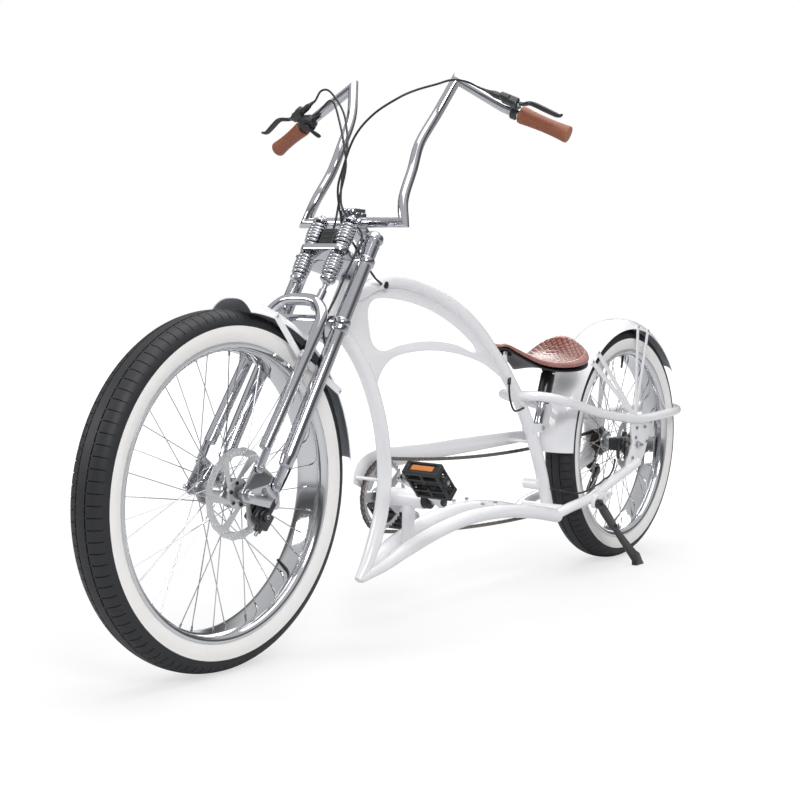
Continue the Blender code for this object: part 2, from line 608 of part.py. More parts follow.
def gear_outline(teeth, tip, root, corners=SHARP_TOOTH):
    """A toothed outline; each tooth has corners at parts of its pitch, at the tip or the root."""
    turn = 2.0 * math.pi / teeth
    points = []
    for index in range(teeth):
        for part, on_tip in corners:
            radius = tip if on_tip else root
            angle = (index + part) * turn
            points.append((radius * math.cos(angle), radius * math.sin(angle)))
    return points


def pitch_radius(teeth):
    return CHAIN_PITCH / (2.0 * math.sin(math.pi / teeth))


CHAIN_HALF_HEIGHT = 0.0040
CHAIN_HALF_WIDTH = 0.0034
TIP_GAP = CHAIN_HALF_HEIGHT + 0.0008


def chainring():
    """The toothed ring with five windows between its arms."""
    pitch = pitch_radius(CHAINRING_TEETH)
    holes = [circle(0.0, 0.0, true_radius(0.0172 + SEAT, 14), 14)]
    arms = 5
    for index in range(arms):
        start = 2.0 * math.pi * (index + 0.5) / arms
        outer = [(pitch - 0.016, start - 0.44 + 0.88 * k / 4) for k in range(5)]
        inner = [(0.036, start + 0.16), (0.036, start - 0.16)]
        holes.append([(r * math.cos(a), r * math.sin(a)) for r, a in outer + inner])
    place = Matrix.Translation(CRANK) @ side_plane()
    made = plate("chainring", gear_outline(CHAINRING_TEETH, pitch - TIP_GAP, pitch - TIP_GAP - 0.004, SHARP_TOOTH),
                 CHAIN_Y - 0.0013, CHAIN_Y + 0.0013, ALLOY, holes, place)
    return pivoted(made, CRANK)


def crank_arm(name, side):
    """A forged arm from the spindle to the pedal eye; the right one carries the chainring on its boss."""
    angle = CRANK_RISE if side > 0 else CRANK_RISE + math.pi
    eye = (CRANK_LENGTH * math.cos(angle), CRANK_LENGTH * math.sin(angle))
    outline = stadium([(0.0, 0.0, 0.0165), (eye[0], eye[1], 0.0125)], 4)
    holes = [circle(eye[0], eye[1], true_radius(0.0060 + SEAT, 8), 8)]
    if side > 0:
        holes.append(circle(0.0, 0.0, true_radius(0.0085 + SEAT, 10), 10))
    low, high = sorted((side * (CRANK_OUTER - 0.0150), side * (CRANK_OUTER - 0.0030)))
    place = Matrix.Translation(CRANK) @ side_plane()
    arm = plate(name, outline, low, high, ALLOY, holes, place)
    if side < 0:
        boss = [(-0.0665, 0.0172), (-0.0730, 0.0172), (-0.0730, 0.0220), (-0.0860, 0.0220)]
        boss = [(-0.0665, 0.0)] + boss + [(-0.0860, 0.0)]
        arm = merged(arm, [turned("boss", boss, CRANK, ACROSS, ALLOY, 10)])
        arm = merged(arm, [rod("bore", CRANK, CRANK - ACROSS * 0.12, true_radius(0.0085 + SEAT, 10), ALLOY, 10)], "DIFFERENCE")
    arm.name = name
    return pivoted(arm, CRANK)


def pedal_eye(side):
    angle = CRANK_RISE if side > 0 else CRANK_RISE + math.pi
    return CRANK + Vector((CRANK_LENGTH * math.cos(angle), 0.0, CRANK_LENGTH * math.sin(angle)))


PEDAL_INNER = 0.0170
PEDAL_WIDTH = 0.0940
PEDAL_LENGTH = 0.0880
PEDAL_HEIGHT = 0.0330
PEDAL_TILT = math.radians(45.0)


def pedal(name, side):
    """A block pedal with four windows through it, hanging with its front end up."""
    eye = pedal_eye(side)
    middle = CRANK_OUTER + PEDAL_INNER + PEDAL_WIDTH / 2.0
    centre = Vector((eye.x, side * middle, eye.z))
    body = block(name, centre, (PEDAL_LENGTH, PEDAL_WIDTH, PEDAL_HEIGHT), BLACK_PLASTIC, bevel=0.006)
    cutters = []
    for across in (-0.022, 0.022):
        for ahead in (-0.024, 0.024):
            spot = centre + Vector((ahead, across * side, 0.0))
            cutters.append(block("window", spot, (0.024, 0.030, 0.060), BLACK_PLASTIC))
    cutters.append(rod("bore", centre - ACROSS * 0.06, centre + ACROSS * 0.06, true_radius(0.0055 + RUNNING, 12), BLACK_PLASTIC, 12))
    body = merged(body, cutters, "DIFFERENCE")
    body.name = name
    body = pivoted(body, Vector((eye.x, 0.0, eye.z)))
    body.data.transform(Matrix.Rotation(-PEDAL_TILT, 4, "Y"))
    return body


def pedal_axle(name, side):
    eye = pedal_eye(side)
    start = CRANK_OUTER - 0.0150
    end = CRANK_OUTER + PEDAL_INNER + PEDAL_WIDTH + 0.003
    collar = CRANK_OUTER - 0.0030 + SEAT
    profile = [(end, 0.0), (end, 0.0052), (collar + 0.012, 0.0052), (collar + 0.012, 0.0085), (collar, 0.0085),
               (collar, 0.0060), (start, 0.0060), (start, 0.0)]
    return pivoted(turned(name, [(side * y, r) for y, r in profile], Vector((eye.x, 0.0, eye.z)), ACROSS, STEEL, 12),
                   Vector((CRANK.x, 0.0, CRANK.z)))


def crank_spindle():
    """The spindle with the heads of its two bolts outside the arms."""
    seat = CRANK_OUTER - 0.0030 + SEAT
    half = [(seat + 0.004, 0.0), (seat + 0.004, 0.0105), (seat, 0.0120), (seat, 0.0085)]
    profile = half + [(-y, r) for y, r in reversed(half)]
    return pivoted(turned("crank_spindle", profile, CRANK, ACROSS, STEEL, 12), CRANK)


COG_COUNT = 4
COG_SPACING = 0.0070
COG_OUTER_Y = -0.0595
COG_STEP = 3
CHAIN_COG = 0
COG_BODY_RADIUS = 0.0148


def cog_y(index):
    return COG_OUTER_Y + COG_SPACING * index


def band(shape, place, inner, low, outer, high):
    """A strip of faces from one ring at a height to another ring at a height."""
    count = len(inner)
    first = [shape.verts.new(place @ Vector((x, y, low))) for x, y in inner]
    second = [shape.verts.new(place @ Vector((x, y, high))) for x, y in outer]
    for k in range(count):
        shape.faces.new((first[k], first[(k + 1) % count], second[(k + 1) % count], second[k]))


def cassette():
    """The freewheel's body with its cogs, the smallest outermost, joined ring to ring."""
    place = Matrix.Translation(REAR_AXLE) @ side_plane()
    body = circle(0.0, 0.0, COG_BODY_RADIUS, 14)
    bore = circle(0.0, 0.0, true_radius(0.0117 + RUNNING, 14), 14)
    shape = bmesh.new()
    end = cog_y(COG_COUNT - 1) + 0.0030
    height = COG_OUTER_Y - 0.0045
    band(shape, place, bore, height, body, height)
    for index in range(COG_COUNT):
        teeth = COG_TEETH + COG_STEP * (index - CHAIN_COG)
        tip = pitch_radius(teeth) - TIP_GAP
        low, high = cog_y(index) - 0.0010, cog_y(index) + 0.0010
        cog = plate("cog", gear_outline(teeth, tip, tip - 0.004), low, high, DARK_STEEL, [body], place)
        shape.from_mesh(cog.data)
        bpy.data.objects.remove(cog)
        band(shape, place, body, height, body, low)
        height = high
    band(shape, place, body, height, body, end)
    band(shape, place, body, end, bore, end)
    band(shape, place, bore, end, bore, COG_OUTER_Y - 0.0045)
    reach = COG_BODY_RADIUS + 0.0001
    walls = [face for face in shape.faces if abs(face.normal.y) < 0.5 and len({round(v.co.y, 5) for v in face.verts}) > 1
             and is_hole_wall(face, reach)]
    bmesh.ops.delete(shape, geom=walls, context="FACES")
    return pivoted(solid("cassette", shape, DARK_STEEL, Vector((0.0, 0.0, 0.0))), REAR_AXLE)


def is_hole_wall(face, reach):
    """A face of a cog's hole: on the body's radius and inside that cog's thickness."""
    middle = face.calc_center_median() - REAR_AXLE
    near = min(abs(middle.y - cog_y(index)) for index in range(COG_COUNT))
    inside = all(COG_BODY_RADIUS - 0.0001 < math.hypot(v.co.x - REAR_AXLE.x, v.co.z - REAR_AXLE.z) < reach
                 for v in face.verts)
    return inside and near < 0.0009


JOCKEY_X = -1.640
JOCKEY_UPPER_Z = 0.240
JOCKEY_LOWER_X = -1.600
JOCKEY_LOWER_Z = 0.185
UPPER_SAG = 0.0270
LOWER_SAG = 0.0266


def chain_stations():
    """The four wheels that the chain runs on: centre, pitch radius, turning sense and place across."""
    upper, lower = drawn([(JOCKEY_X, JOCKEY_UPPER_Z), (JOCKEY_LOWER_X, JOCKEY_LOWER_Z)])
    return [((CRANK.x, CRANK.z), pitch_radius(CHAINRING_TEETH), 1.0, CHAIN_Y),
            ((REAR_AXLE.x, REAR_AXLE.z), pitch_radius(COG_TEETH), 1.0, cog_y(CHAIN_COG)),
            (upper, pitch_radius(JOCKEY_TEETH), -1.0, cog_y(CHAIN_COG)),
            (lower, pitch_radius(JOCKEY_TEETH), 1.0, cog_y(CHAIN_COG))]


def tangent(first, second):
    """The touching points of the straight run from one wheel to the next."""
    (ax, az), ar, a_sense, _ = first
    (bx, bz), br, b_sense, _ = second
    dx, dz = bx - ax, bz - az
    span = math.hypot(dx, dz)
    signed_a, signed_b = ar * a_sense, br * b_sense
    sine = (signed_a - signed_b) / span
    cosine = math.sqrt(1.0 - sine * sine)
    ux, uz = dx / span, dz / span
    nx, nz = ux * sine + uz * cosine, uz * sine - ux * cosine
    return (ax + nx * signed_a, az + nz * signed_a), (bx + nx * signed_b, bz + nz * signed_b)


def chain_path():
    """Points along the chain's loop: one for each pitch on the wheels, a few on the two sagging runs."""
    stations = chain_stations()
    count = len(stations)
    runs = [tangent(stations[k], stations[(k + 1) % count]) for k in range(count)]
    sags = [UPPER_SAG, 0.0, 0.0, LOWER_SAG]
    turns = [4.0 * sag / math.dist(*run) for sag, run in zip(sags, runs)]
    turns[3] = -turns[3]
    arcs = []
    for k in range(count):
        (cx, cz), radius, sense, y = stations[k]
        enter, leave = runs[k - 1][1], runs[k][0]
        a0 = math.atan2(enter[1] - cz, enter[0] - cx) - turns[k - 1] * sense
        a1 = math.atan2(leave[1] - cz, leave[0] - cx) + turns[k] * sense
        sweep = (a1 - a0) * sense % (2.0 * math.pi)
        steps = max(3, round(sweep * radius / CHAIN_PITCH))
        arcs.append([Vector((cx + radius * math.cos(a0 + sense * sweep * j / steps), y,
                             cz + radius * math.sin(a0 + sense * sweep * j / steps))) for j in range(steps + 1)])
    loop = []
    for k in range(count):
        loop += arcs[k]
        if sags[k]:
            start, end = arcs[k][-1], arcs[(k + 1) % count][0]
            for step in range(1, 8):
                part = step / 8.0
                loop.append(start.lerp(end, part) - Vector((0.0, 0.0, 4.0 * sags[k] * part * (1.0 - part))))
    return loop


def chain():
    """The roller chain as one loop of its outer size, bent round the four toothed wheels."""
    points = chain_path()
    count = len(points)
    shape = bmesh.new()
    rows = []
    for k, point in enumerate(points):
        before, after = point - points[k - 1], points[(k + 1) % count] - point
        up = (before.normalized() + after.normalized()).cross(ACROSS).normalized()
        rows.append([shape.verts.new(point + up * CHAIN_HALF_HEIGHT * a + ACROSS * CHAIN_HALF_WIDTH * b)
                     for a, b in ((1, 1), (1, -1), (-1, -1), (-1, 1))])
    count = len(rows)
    for k in range(count):
        low, high = rows[k], rows[(k + 1) % count]
        for j in range(4):
            shape.faces.new((low[j], low[(j + 1) % 4], high[(j + 1) % 4], high[j]))
    return solid("chain", shape, DARK_STEEL, Vector((0.0, 0.0, 0.0)))


frame()
REAR_RIGHT_FLANGE = -0.0240
REAR_HUB_END = -0.0335
COG_SLEEVE = (REAR_HUB_END - SEAT, 0.0115)
for name, axle, tread, rim_radius, right_flange, right_end in (
        ("front", FRONT_AXLE, FRONT_TYRE_RADIUS, FRONT_RIM_RADIUS, -HUB_FLANGE_OFFSET, -HUB_HALF_LENGTH),
        ("rear", REAR_AXLE, REAR_TYRE_RADIUS, REAR_RIM_RADIUS, REAR_RIGHT_FLANGE, REAR_HUB_END)):
    tyre(name + "_tyre", axle, tread, rim_radius)
    wheel(name + "_wheel", axle, rim_radius, HUB_FLANGE_OFFSET, right_flange, right_end)
rotor("front_rotor", FRONT_AXLE, FRONT_ROTOR_RADIUS)
rotor("rear_rotor", REAR_AXLE, REAR_ROTOR_RADIUS)
axle_bar("front_axle", FRONT_AXLE, HUB_HALF_LENGTH, ROCKER_INNER, ROCKER_THICKNESS, AXLE_HALF_LENGTH)
axle_bar("rear_axle", REAR_AXLE, HUB_HALF_LENGTH + 0.008, DROPOUT_INNER, DROPOUT_THICKNESS, AXLE_HALF_LENGTH, COG_SLEEVE)
FENDER_WIDTH = 0.1040
FRONT_PAD = (-0.1685, 0.6120)
REAR_PAD = (-1.6360, 0.3980)


def fender_edge(axle, radius, degrees):
    """A point on the left edge of a fender, for a stay's upper end."""
    angle = math.radians(degrees)
    reach = radius - 0.0130
    return Vector((axle.x + reach * math.cos(angle), FENDER_WIDTH / 2.0 - 0.0010, axle.z + reach * math.sin(angle)))


def stayed_fender(name, axle, radius, start, stop, pad, pad_span, joins):
    """A fender with its stays, which run on each side from the fender's edge to one pad on the bicycle."""
    body = fender(name, axle, radius, math.radians(start), math.radians(stop), FENDER_WIDTH)
    stays = []
    for side in (1.0, -1.0):
        low, high = sorted((side * pad_span[0], side * pad_span[1]))
        stays.append(rod("pad", bike(pad[0], low, pad[1]), bike(pad[0], high, pad[1]), 0.0065, WHITE_PAINT, 8))
        for degrees in joins:
            top = fender_edge(axle, radius, degrees)
            middle = (pad_span[0] + pad_span[1]) / 2.0
            top.y *= side
            stays.append(tube("stay", [bike(pad[0], side * middle, pad[1]), top], 0.0024, WHITE_PAINT, 0))
    body = merged(body, stays)
    body.name = name
    return body


stayed_fender("front_fender", FRONT_AXLE, FRONT_TYRE_RADIUS + 0.015, 95.0, 174.0, FRONT_PAD,
              (0.0530, FRONT_LEG_SPREAD - FRONT_LEG_RADIUS - SEAT), (107.0, 149.0))
stayed_fender("rear_fender", REAR_AXLE, REAR_TYRE_RADIUS + 0.015, 0.0, 143.0, REAR_PAD,
              (0.0555, STAY_HALF_SPREAD - STAY_RADIUS - SEAT), (49.0, 100.0))
cassette()
chainring()
chain()
crank_spindle()
for side, hand in ((1.0, "left"), (-1.0, "right")):
    crank_arm("crank_arm_" + hand, side)
    pedal_axle("pedal_axle_" + hand, side)
    pedal("pedal_" + hand, side)


def fork_place(s=0.0, d=0.0, y=0.0):
    """Local X ahead of the steering axis, local Y across, local Z up the axis."""
    return aligned(fork(s, d, y), FORK_UP, FORK_AHEAD)


def fork_side(side=1.0):
    """Local X ahead of the axis, local Y up it, local Z across, with its zero on the steering axis."""
    x_axis = FORK_AHEAD
    y_axis = FORK_UP
    turn = Matrix((x_axis, y_axis, ACROSS)).transposed().to_4x4()
    return Matrix.Translation(fork(0.0, 0.0, 0.0)) @ turn


UPPER_CROWN = (-0.0120, 0.0040)
LOWER_CROWN = (-0.1590, -0.1440)
CUP_HEIGHT = 0.0052


def crown(name, span, with_perch):
    """A clamp plate round the steerer and both legs; the upper one reaches ahead to hold the springs."""
    low, high = span
    outline = stadium([(0.0, 0.0, 0.0225), (LEG_OFFSET, LEG_SPREAD, 0.0200), (LEG_OFFSET, -LEG_SPREAD, 0.0200)], 3)
    holes = [circle(LEG_OFFSET, LEG_SPREAD, true_radius(LEG_RADIUS + SEAT, 10), 10),
             circle(LEG_OFFSET, -LEG_SPREAD, true_radius(LEG_RADIUS + SEAT, 10), 10)]
    if with_perch:
        reach = stadium([(LEG_OFFSET - 0.020, 0.056, 0.010), (LEG_OFFSET - 0.020, -0.056, 0.010),
                         (SPRING_D, SPRING_SPREAD, 0.0185), (SPRING_D, -SPRING_SPREAD, 0.0185)], 3)
        body = plate(name, outline, low, high, CHROME, (), fork_place())
        body = merged(body, [plate("perch", reach, low + 0.001, high - 0.001, CHROME, (), fork_place())])
        cutters = [rod("bore", fork(low - 0.02, 0.0, 0.0), fork(high + 0.02, 0.0, 0.0), true_radius(STEERER_RADIUS + SEAT, 12), CHROME, 12)]
        for side in (1.0, -1.0):
            for d, y, radius in ((LEG_OFFSET, LEG_SPREAD, LEG_RADIUS + SEAT), (SPRING_D, SPRING_SPREAD, ROD_RADIUS + RUNNING)):
                cutters.append(rod("bore", fork(low - 0.02, d, side * y), fork(high + 0.02, d, side * y),
                                   true_radius(radius, 10), CHROME, 10))
        body = merged(body, cutters, "DIFFERENCE")
    else:
        body = plate(name, outline, low, high, CHROME, holes, fork_place())
    body.name = name
    return pivoted(body, fork(0.0, 0.0, 0.0))


def steerer():
    """The steerer tube through the head tube, welded to the lower crown."""
    tube_piece = rod("steerer", fork(LOWER_CROWN[0] - 0.004, 0.0, 0.0), fork(0.0620, 0.0, 0.0), STEERER_RADIUS, CHROME, 12)
    body = merged(crown("lower_crown", LOWER_CROWN, False), [tube_piece])
    body.name = "steerer"
    return pivoted(body, fork(0.0, 0.0, 0.0))


def lug_faces(side):
    """The two heights across the bicycle of a lug outside the rocker."""
    outer = ROCKER_INNER + ROCKER_THICKNESS + 0.0010
    return sorted((side * outer, side * (outer + 0.0050)))


def bolt(centre, side):
    """A bolt through a lug and the rocker, with its nut inside."""
    head = ROCKER_INNER + ROCKER_THICKNESS + 0.0010 + 0.0040
    nut = ROCKER_INNER - SEAT
    profile = [(head + 0.0055, 0.0), (head + 0.0055, 0.0070), (head, 0.0080), (head, 0.0040), (nut, 0.0040),
               (nut, 0.0075), (nut - 0.0045, 0.0075), (nut - 0.0045, 0.0)]
    return turned("bolt", [(side * y, r) for y, r in profile], centre, ACROSS, CHROME, 6)


def leg(name, side):
    """A main leg with its domed cap, its collar and, at the foot, the lug and bolt of the rocker's pivot."""
    cap = LEG_TOP
    profile = [(cap + 0.0120, 0.0), (cap + 0.0095, 0.0105), (cap + 0.0040, 0.0160), (cap - 0.0080, 0.0165),
               (cap - 0.0090, LEG_RADIUS), (LOWER_CROWN[0] - SEAT, LEG_RADIUS), (LOWER_CROWN[0] - SEAT, 0.0165),
               (LOWER_CROWN[0] - 0.013, 0.0160), (LOWER_CROWN[0] - 0.013, LEG_RADIUS), (LEG_END, LEG_RADIUS), (LEG_END, 0.0)]
    body = turned(name, profile, fork(0.0, LEG_OFFSET, side * LEG_SPREAD), FORK_UP, CHROME, 10)
    low, high = lug_faces(side)
    lug = plate("lug", stadium([(LEG_OFFSET, LEG_END + 0.012, 0.0100), (LEG_OFFSET, PIVOT_S, 0.0110)], 3), low, high, CHROME,
                (), fork_side())
    body = merged(body, [lug, bolt(pivot_point(), side)])
    body.name = name
    return pivoted(body, fork(0.0, 0.0, 0.0))


def stem():
    """The stem: a clamp block ahead of the steerer that holds the bar."""
    bar = bike(BAR_LINE[0][0], 0.0, BAR_LINE[0][2])
    shaft = fork(0.0620 + SEAT, 0.0, 0.0)
    body = rod("stem", shaft, fork(0.0980, 0.0, 0.0), 0.0150, CHROME, 12)
    arm_start = fork(0.0900, 0.0, 0.0)
    along = bar - arm_start
    arm = block("arm", (bar + arm_start) / 2.0, (0.026, 0.034, along.length + 0.010), CHROME, along, ACROSS.cross(along), 0.004)
    head = block("head", bar + Vector((0.0, 0.0, 0.002)), (0.040, 0.044, 0.042), CHROME, bevel=0.005)
    body = merged(body, [arm, head])
    body = merged(body, [rod("bore", bar - ACROSS * 0.03, bar + ACROSS * 0.03, true_radius(BAR_RADIUS + SEAT, 10), CHROME, 10)], "DIFFERENCE")
    body.name = "stem"
    return pivoted(body, fork(0.0, 0.0, 0.0))


BAR_LINE = [(-0.409, 0.132, 0.887), (-0.425, 0.1185, 0.936), (-0.467, 0.1095, 1.000), (-0.497, 0.1065, 1.059),
            (-0.545, 0.1180, 1.128), (-0.580, 0.1410, 1.2012)]
HAND_LINE = [(-0.5835, 0.2600, 1.1350), (-0.6190, 0.3960, 1.0757)]


def bar_points():
    """The left half of the bar: sharp mitres at both ends of the curved riser."""
    riser = [bike(*point) for point in BAR_LINE]
    hand = [bike(*point) for point in HAND_LINE]
    return riser + hand


def handlebar():
    left = bar_points()
    right = [Vector((p.x, -p.y, p.z)) for p in reversed(left)]
    made = tube("handlebar", right + left, BAR_RADIUS, CHROME, 2)
    return pivoted(made, fork(0.0, 0.0, 0.0))


def hand_direction(side):
    start, end = bike(*HAND_LINE[0]), bike(*HAND_LINE[1])
    run = (end - start).normalized()
    return Vector((run.x, side * run.y, run.z))


def hand_point(side, back):
    """A point of the hand section, that far in from its outer end."""
    end = bike(*HAND_LINE[1])
    return Vector((end.x, side * end.y, end.z)) - hand_direction(side) * back


def grip(name, side):
    """A ribbed grip with a closed end and a collar, slipped over the bar."""
    inner = true_radius(BAR_RADIUS + SEAT, 10)
    length = GRIP_LENGTH
    profile = [(0.0030, 0.0), (0.0030, GRIP_RADIUS - 0.002), (0.0015, GRIP_RADIUS), (-0.100, GRIP_RADIUS),
               (-0.102, GRIP_RADIUS + 0.003), (-length, GRIP_RADIUS + 0.003), (-length, inner), (SEAT, inner), (SEAT, 0.0)]
    made = turned(name, profile, hand_point(side, 0.0), hand_direction(side), BROWN_GRIP, 10)
    return pivoted(made, fork(0.0, 0.0, 0.0))


def lever_axes(side):
    """The lever's own directions: out along the bar, ahead of it and above it."""
    out = hand_direction(side)
    ahead = Vector((0.78, 0.0, 0.62))
    ahead = (ahead - out * ahead.dot(out)).normalized()
    return out, ahead, out.cross(ahead) * side * -1.0


CLAMP_BACK = 0.1250
LEVER_REACH = 0.0280


def lever_point(side, out_by, ahead_by, up_by=0.0):
    out, ahead, up = lever_axes(side)
    return hand_point(side, CLAMP_BACK) + out * out_by + ahead * ahead_by + up * up_by


def brake_body(name, side):
    """The lever's clamp and body, with the barrel that takes the cable."""
    out, ahead, up = lever_axes(side)
    ring = rod(name, lever_point(side, -0.006, 0.0), lever_point(side, 0.006, 0.0), BAR_RADIUS + 0.0050, BLACK_PAINT, 12)
    neck = block("neck", lever_point(side, -0.002, 0.019), (0.016, 0.012, 0.022), BLACK_PAINT, ahead, out)
    housing = block("housing", lever_point(side, -0.0223, LEVER_REACH + 0.004), (0.0594, 0.013, 0.017), BLACK_PAINT, ahead, out, 0.003)
    barrel = rod("barrel", lever_point(side, -0.050, LEVER_REACH + 0.004), lever_point(side, -0.068, LEVER_REACH + 0.004),
                 0.0048, BLACK_PAINT, 8)
    body = merged(ring, [neck, housing, barrel])
    bore = rod("bore", lever_point(side, -0.020, 0.0), lever_point(side, 0.030, 0.0), true_radius(BAR_RADIUS + SEAT, 10), BLACK_PAINT, 10)
    body = merged(body, [bore], "DIFFERENCE")
    body.name = name
    return pivoted(body, fork(0.0, 0.0, 0.0))


def brake_lever(name, side):
    """The curved blade ahead of the grip, turning about a pin across its root."""
    root = lever_point(side, 0.0100, LEVER_REACH + 0.006)
    points = [root, lever_point(side, 0.030, LEVER_REACH + 0.016), lever_point(side, 0.060, LEVER_REACH + 0.024),
              lever_point(side, 0.090, LEVER_REACH + 0.026), lever_point(side, 0.114, LEVER_REACH + 0.030),
              lever_point(side, 0.120, LEVER_REACH + 0.034)]
    blade = tube(name, points, 0.0045, BLACK_PAINT, 1, radii=[1.0, 1.0, 1.0, 1.0, 1.1, 1.3])
    return pivoted(blade, root)


def shifter():
    """The right hand thumb shifter's clamp and round housing, inboard of the brake."""
    side = -1.0
    out, ahead, up = lever_axes(side)
    ring = rod("shifter", lever_point(side, -0.022, 0.0), lever_point(side, -0.012, 0.0), BAR_RADIUS + 0.0050, BLACK_PLASTIC, 12)
    case = rod("case", lever_point(side, -0.030, 0.010, -0.0125), lever_point(side, -0.030, 0.010, -0.0320), 0.0200, BLACK_PLASTIC, 16)
    body = merged(ring, [case])
    bore = rod("bore", lever_point(side, -0.0260, 0.0), lever_point(side, 0.030, 0.0), true_radius(BAR_RADIUS + SEAT, 10), BLACK_PLASTIC, 10)
    body = merged(body, [bore], "DIFFERENCE")
    body.name = "shifter"
    return pivoted(body, fork(0.0, 0.0, 0.0))


def shift_lever():
    """The thumb paddle under the shifter's housing."""
    side = -1.0
    out, ahead, up = lever_axes(side)
    pivot = lever_point(side, -0.030, 0.010, -0.0323 - 0.003)
    hub_piece = rod("shift_lever", pivot + up * 0.003, pivot - up * 0.003, 0.0090, BLACK_PLASTIC, 12)
    paddle = block("paddle", pivot - ahead * 0.024, (0.014, 0.005, 0.034), BLACK_PLASTIC, ahead, out)
    body = merged(hub_piece, [paddle])
    body.name = "shift_lever"
    return pivoted(body, pivot)


def front_legs():
    """The sprung legs: one tube bent over the tyre, two spring rods with their nuts, and a lug and bolt at each foot."""
    top_s, shoulder_s = -0.1280, -0.1750
    left = [fork(-0.4700, 0.1275, FRONT_LEG_SPREAD), fork(-0.3300, 0.1210, FRONT_LEG_SPREAD),
            fork(shoulder_s - 0.020, 0.1150, FRONT_LEG_SPREAD), fork(shoulder_s + 0.012, 0.1140, 0.0690),
            fork(-0.1400, 0.1150, 0.0500), fork(top_s - 0.002, 0.1160, 0.0250)]
    right = [Vector((p.x, -p.y, p.z)) for p in reversed(left)]
    body = tube("front_legs", left + right, FRONT_LEG_RADIUS, CHROME, 2)
    extras = []
    for side in (1.0, -1.0):
        low, high = lug_faces(side)
        across = side * SPRING_SPREAD
        extras.append(plate("lug", stadium([(0.1270, -0.4560, 0.0080), (LINK_D, LINK_S, 0.0100)], 3), low, high, CHROME,
                            (), fork_side()))
        extras.append(bolt(fork(LINK_S, LINK_D, 0.0), side))
        extras.append(rod("spring_rod", fork(-0.1480, SPRING_D + 0.004, across), fork(-0.1000, SPRING_D, across), 0.0080, CHROME, 8))
        nut = UPPER_SPRING[1] + SEAT
        profile = [(nut + 0.0150, 0.0), (nut + 0.0150, ROD_RADIUS), (nut + 0.0110, 0.0080), (nut + 0.0035, 0.0165), (nut, 0.0165), (nut, ROD_RADIUS), (LOWER_SPRING[0] - SEAT, ROD_RADIUS),
                   (LOWER_SPRING[0] - SEAT, 0.0165), (LOWER_SPRING[0] - 0.0050, 0.0165),
                   (LOWER_SPRING[0] - 0.0050, ROD_RADIUS), (-0.1030, ROD_RADIUS), (-0.1030, 0.0)]
        extras.append(turned("rod", profile, fork(0.0, SPRING_D, across), FORK_UP, CHROME, 8))
    body = merged(body, extras)
    body.name = "front_legs"
    return pivoted(body, fork(0.0, 0.0, 0.0))


LOWER_SPRING = (-0.0110 - SEAT - SPRING_LENGTH, -0.0110 - SEAT)
UPPER_SPRING = (0.0030 + SEAT, 0.0030 + SEAT + SPRING_LENGTH)


def spring(name, span, side):
    """A coil spring of round wire; prints the least gap between its curls."""
    low = span[0] + SPRING_WIRE
    high = span[1] - SPRING_WIRE
    per_curl = 8
    count = SPRING_CURLS * per_curl
    local = []
    for k in range(count + 1):
        angle = 2.0 * math.pi * k / per_curl
        local.append(Vector((SPRING_RADIUS * math.cos(angle), SPRING_RADIUS * math.sin(angle), low + (high - low) * k / count)))
    first, last = local[0], local[-1]
    start = Vector((first.x, first.y - 2.0 * SPRING_WIRE, first.z))
    end = Vector((last.x, last.y + 2.0 * SPRING_WIRE, last.z))
    local = [start] + local + [end]
    gap = min((local[a] - local[b]).length for a in range(len(local)) for b in range(a + 5, len(local)))
    print(name, "least gap between curls in mm:", round((gap - 2.0 * SPRING_WIRE) * 1000.0, 2))
    place = fork_place(0.0, SPRING_D, side * SPRING_SPREAD)
    made = tube(name, [place @ point for point in local], SPRING_WIRE, CHROME, 1)
    return pivoted(made, fork(0.0, 0.0, 0.0))


def yoke_cover():
    """The black moulded cover that stands between the upper springs."""
    made = block("yoke_cover", fork(0.0263, SPRING_D - 0.006, 0.0), (0.030, 0.040, 0.046), BLACK_PLASTIC, FORK_UP, FORK_AHEAD, 0.005)
    return pivoted(made, fork(0.0, 0.0, 0.0))


LINK_PLAY = 0.0024


def pivot_point():
    return fork(PIVOT_S, LEG_OFFSET, 0.0)


def rocker(name, side):
    """A flat rocker plate: pivot behind, front leg's link above, wheel axle ahead, caliper's lobe below."""
    pivot = pivot_point()
    link = fork(LINK_S, LINK_D, 0.0)
    lobes = [(pivot.x, pivot.z, 0.0125), (link.x, link.z, 0.0110), (FRONT_AXLE.x, FRONT_AXLE.z, 0.0150)]
    if side > 0:
        lobes.append((FRONT_AXLE.x - 0.084, FRONT_AXLE.z - 0.028, 0.0100))
    holes = [circle(pivot.x, pivot.z, true_radius(0.0040 + SEAT, 8), 8), circle(link.x, link.z, true_radius(0.0040 + LINK_PLAY, 8), 8),
             circle(FRONT_AXLE.x, FRONT_AXLE.z, true_radius(AXLE_RADIUS + SEAT, 8), 8)]
    low, high = sorted((side * ROCKER_INNER, side * (ROCKER_INNER + ROCKER_THICKNESS)))
    return pivoted(plate(name, stadium(lobes, 3), low, high, CHROME, holes, side_plane()), pivot)


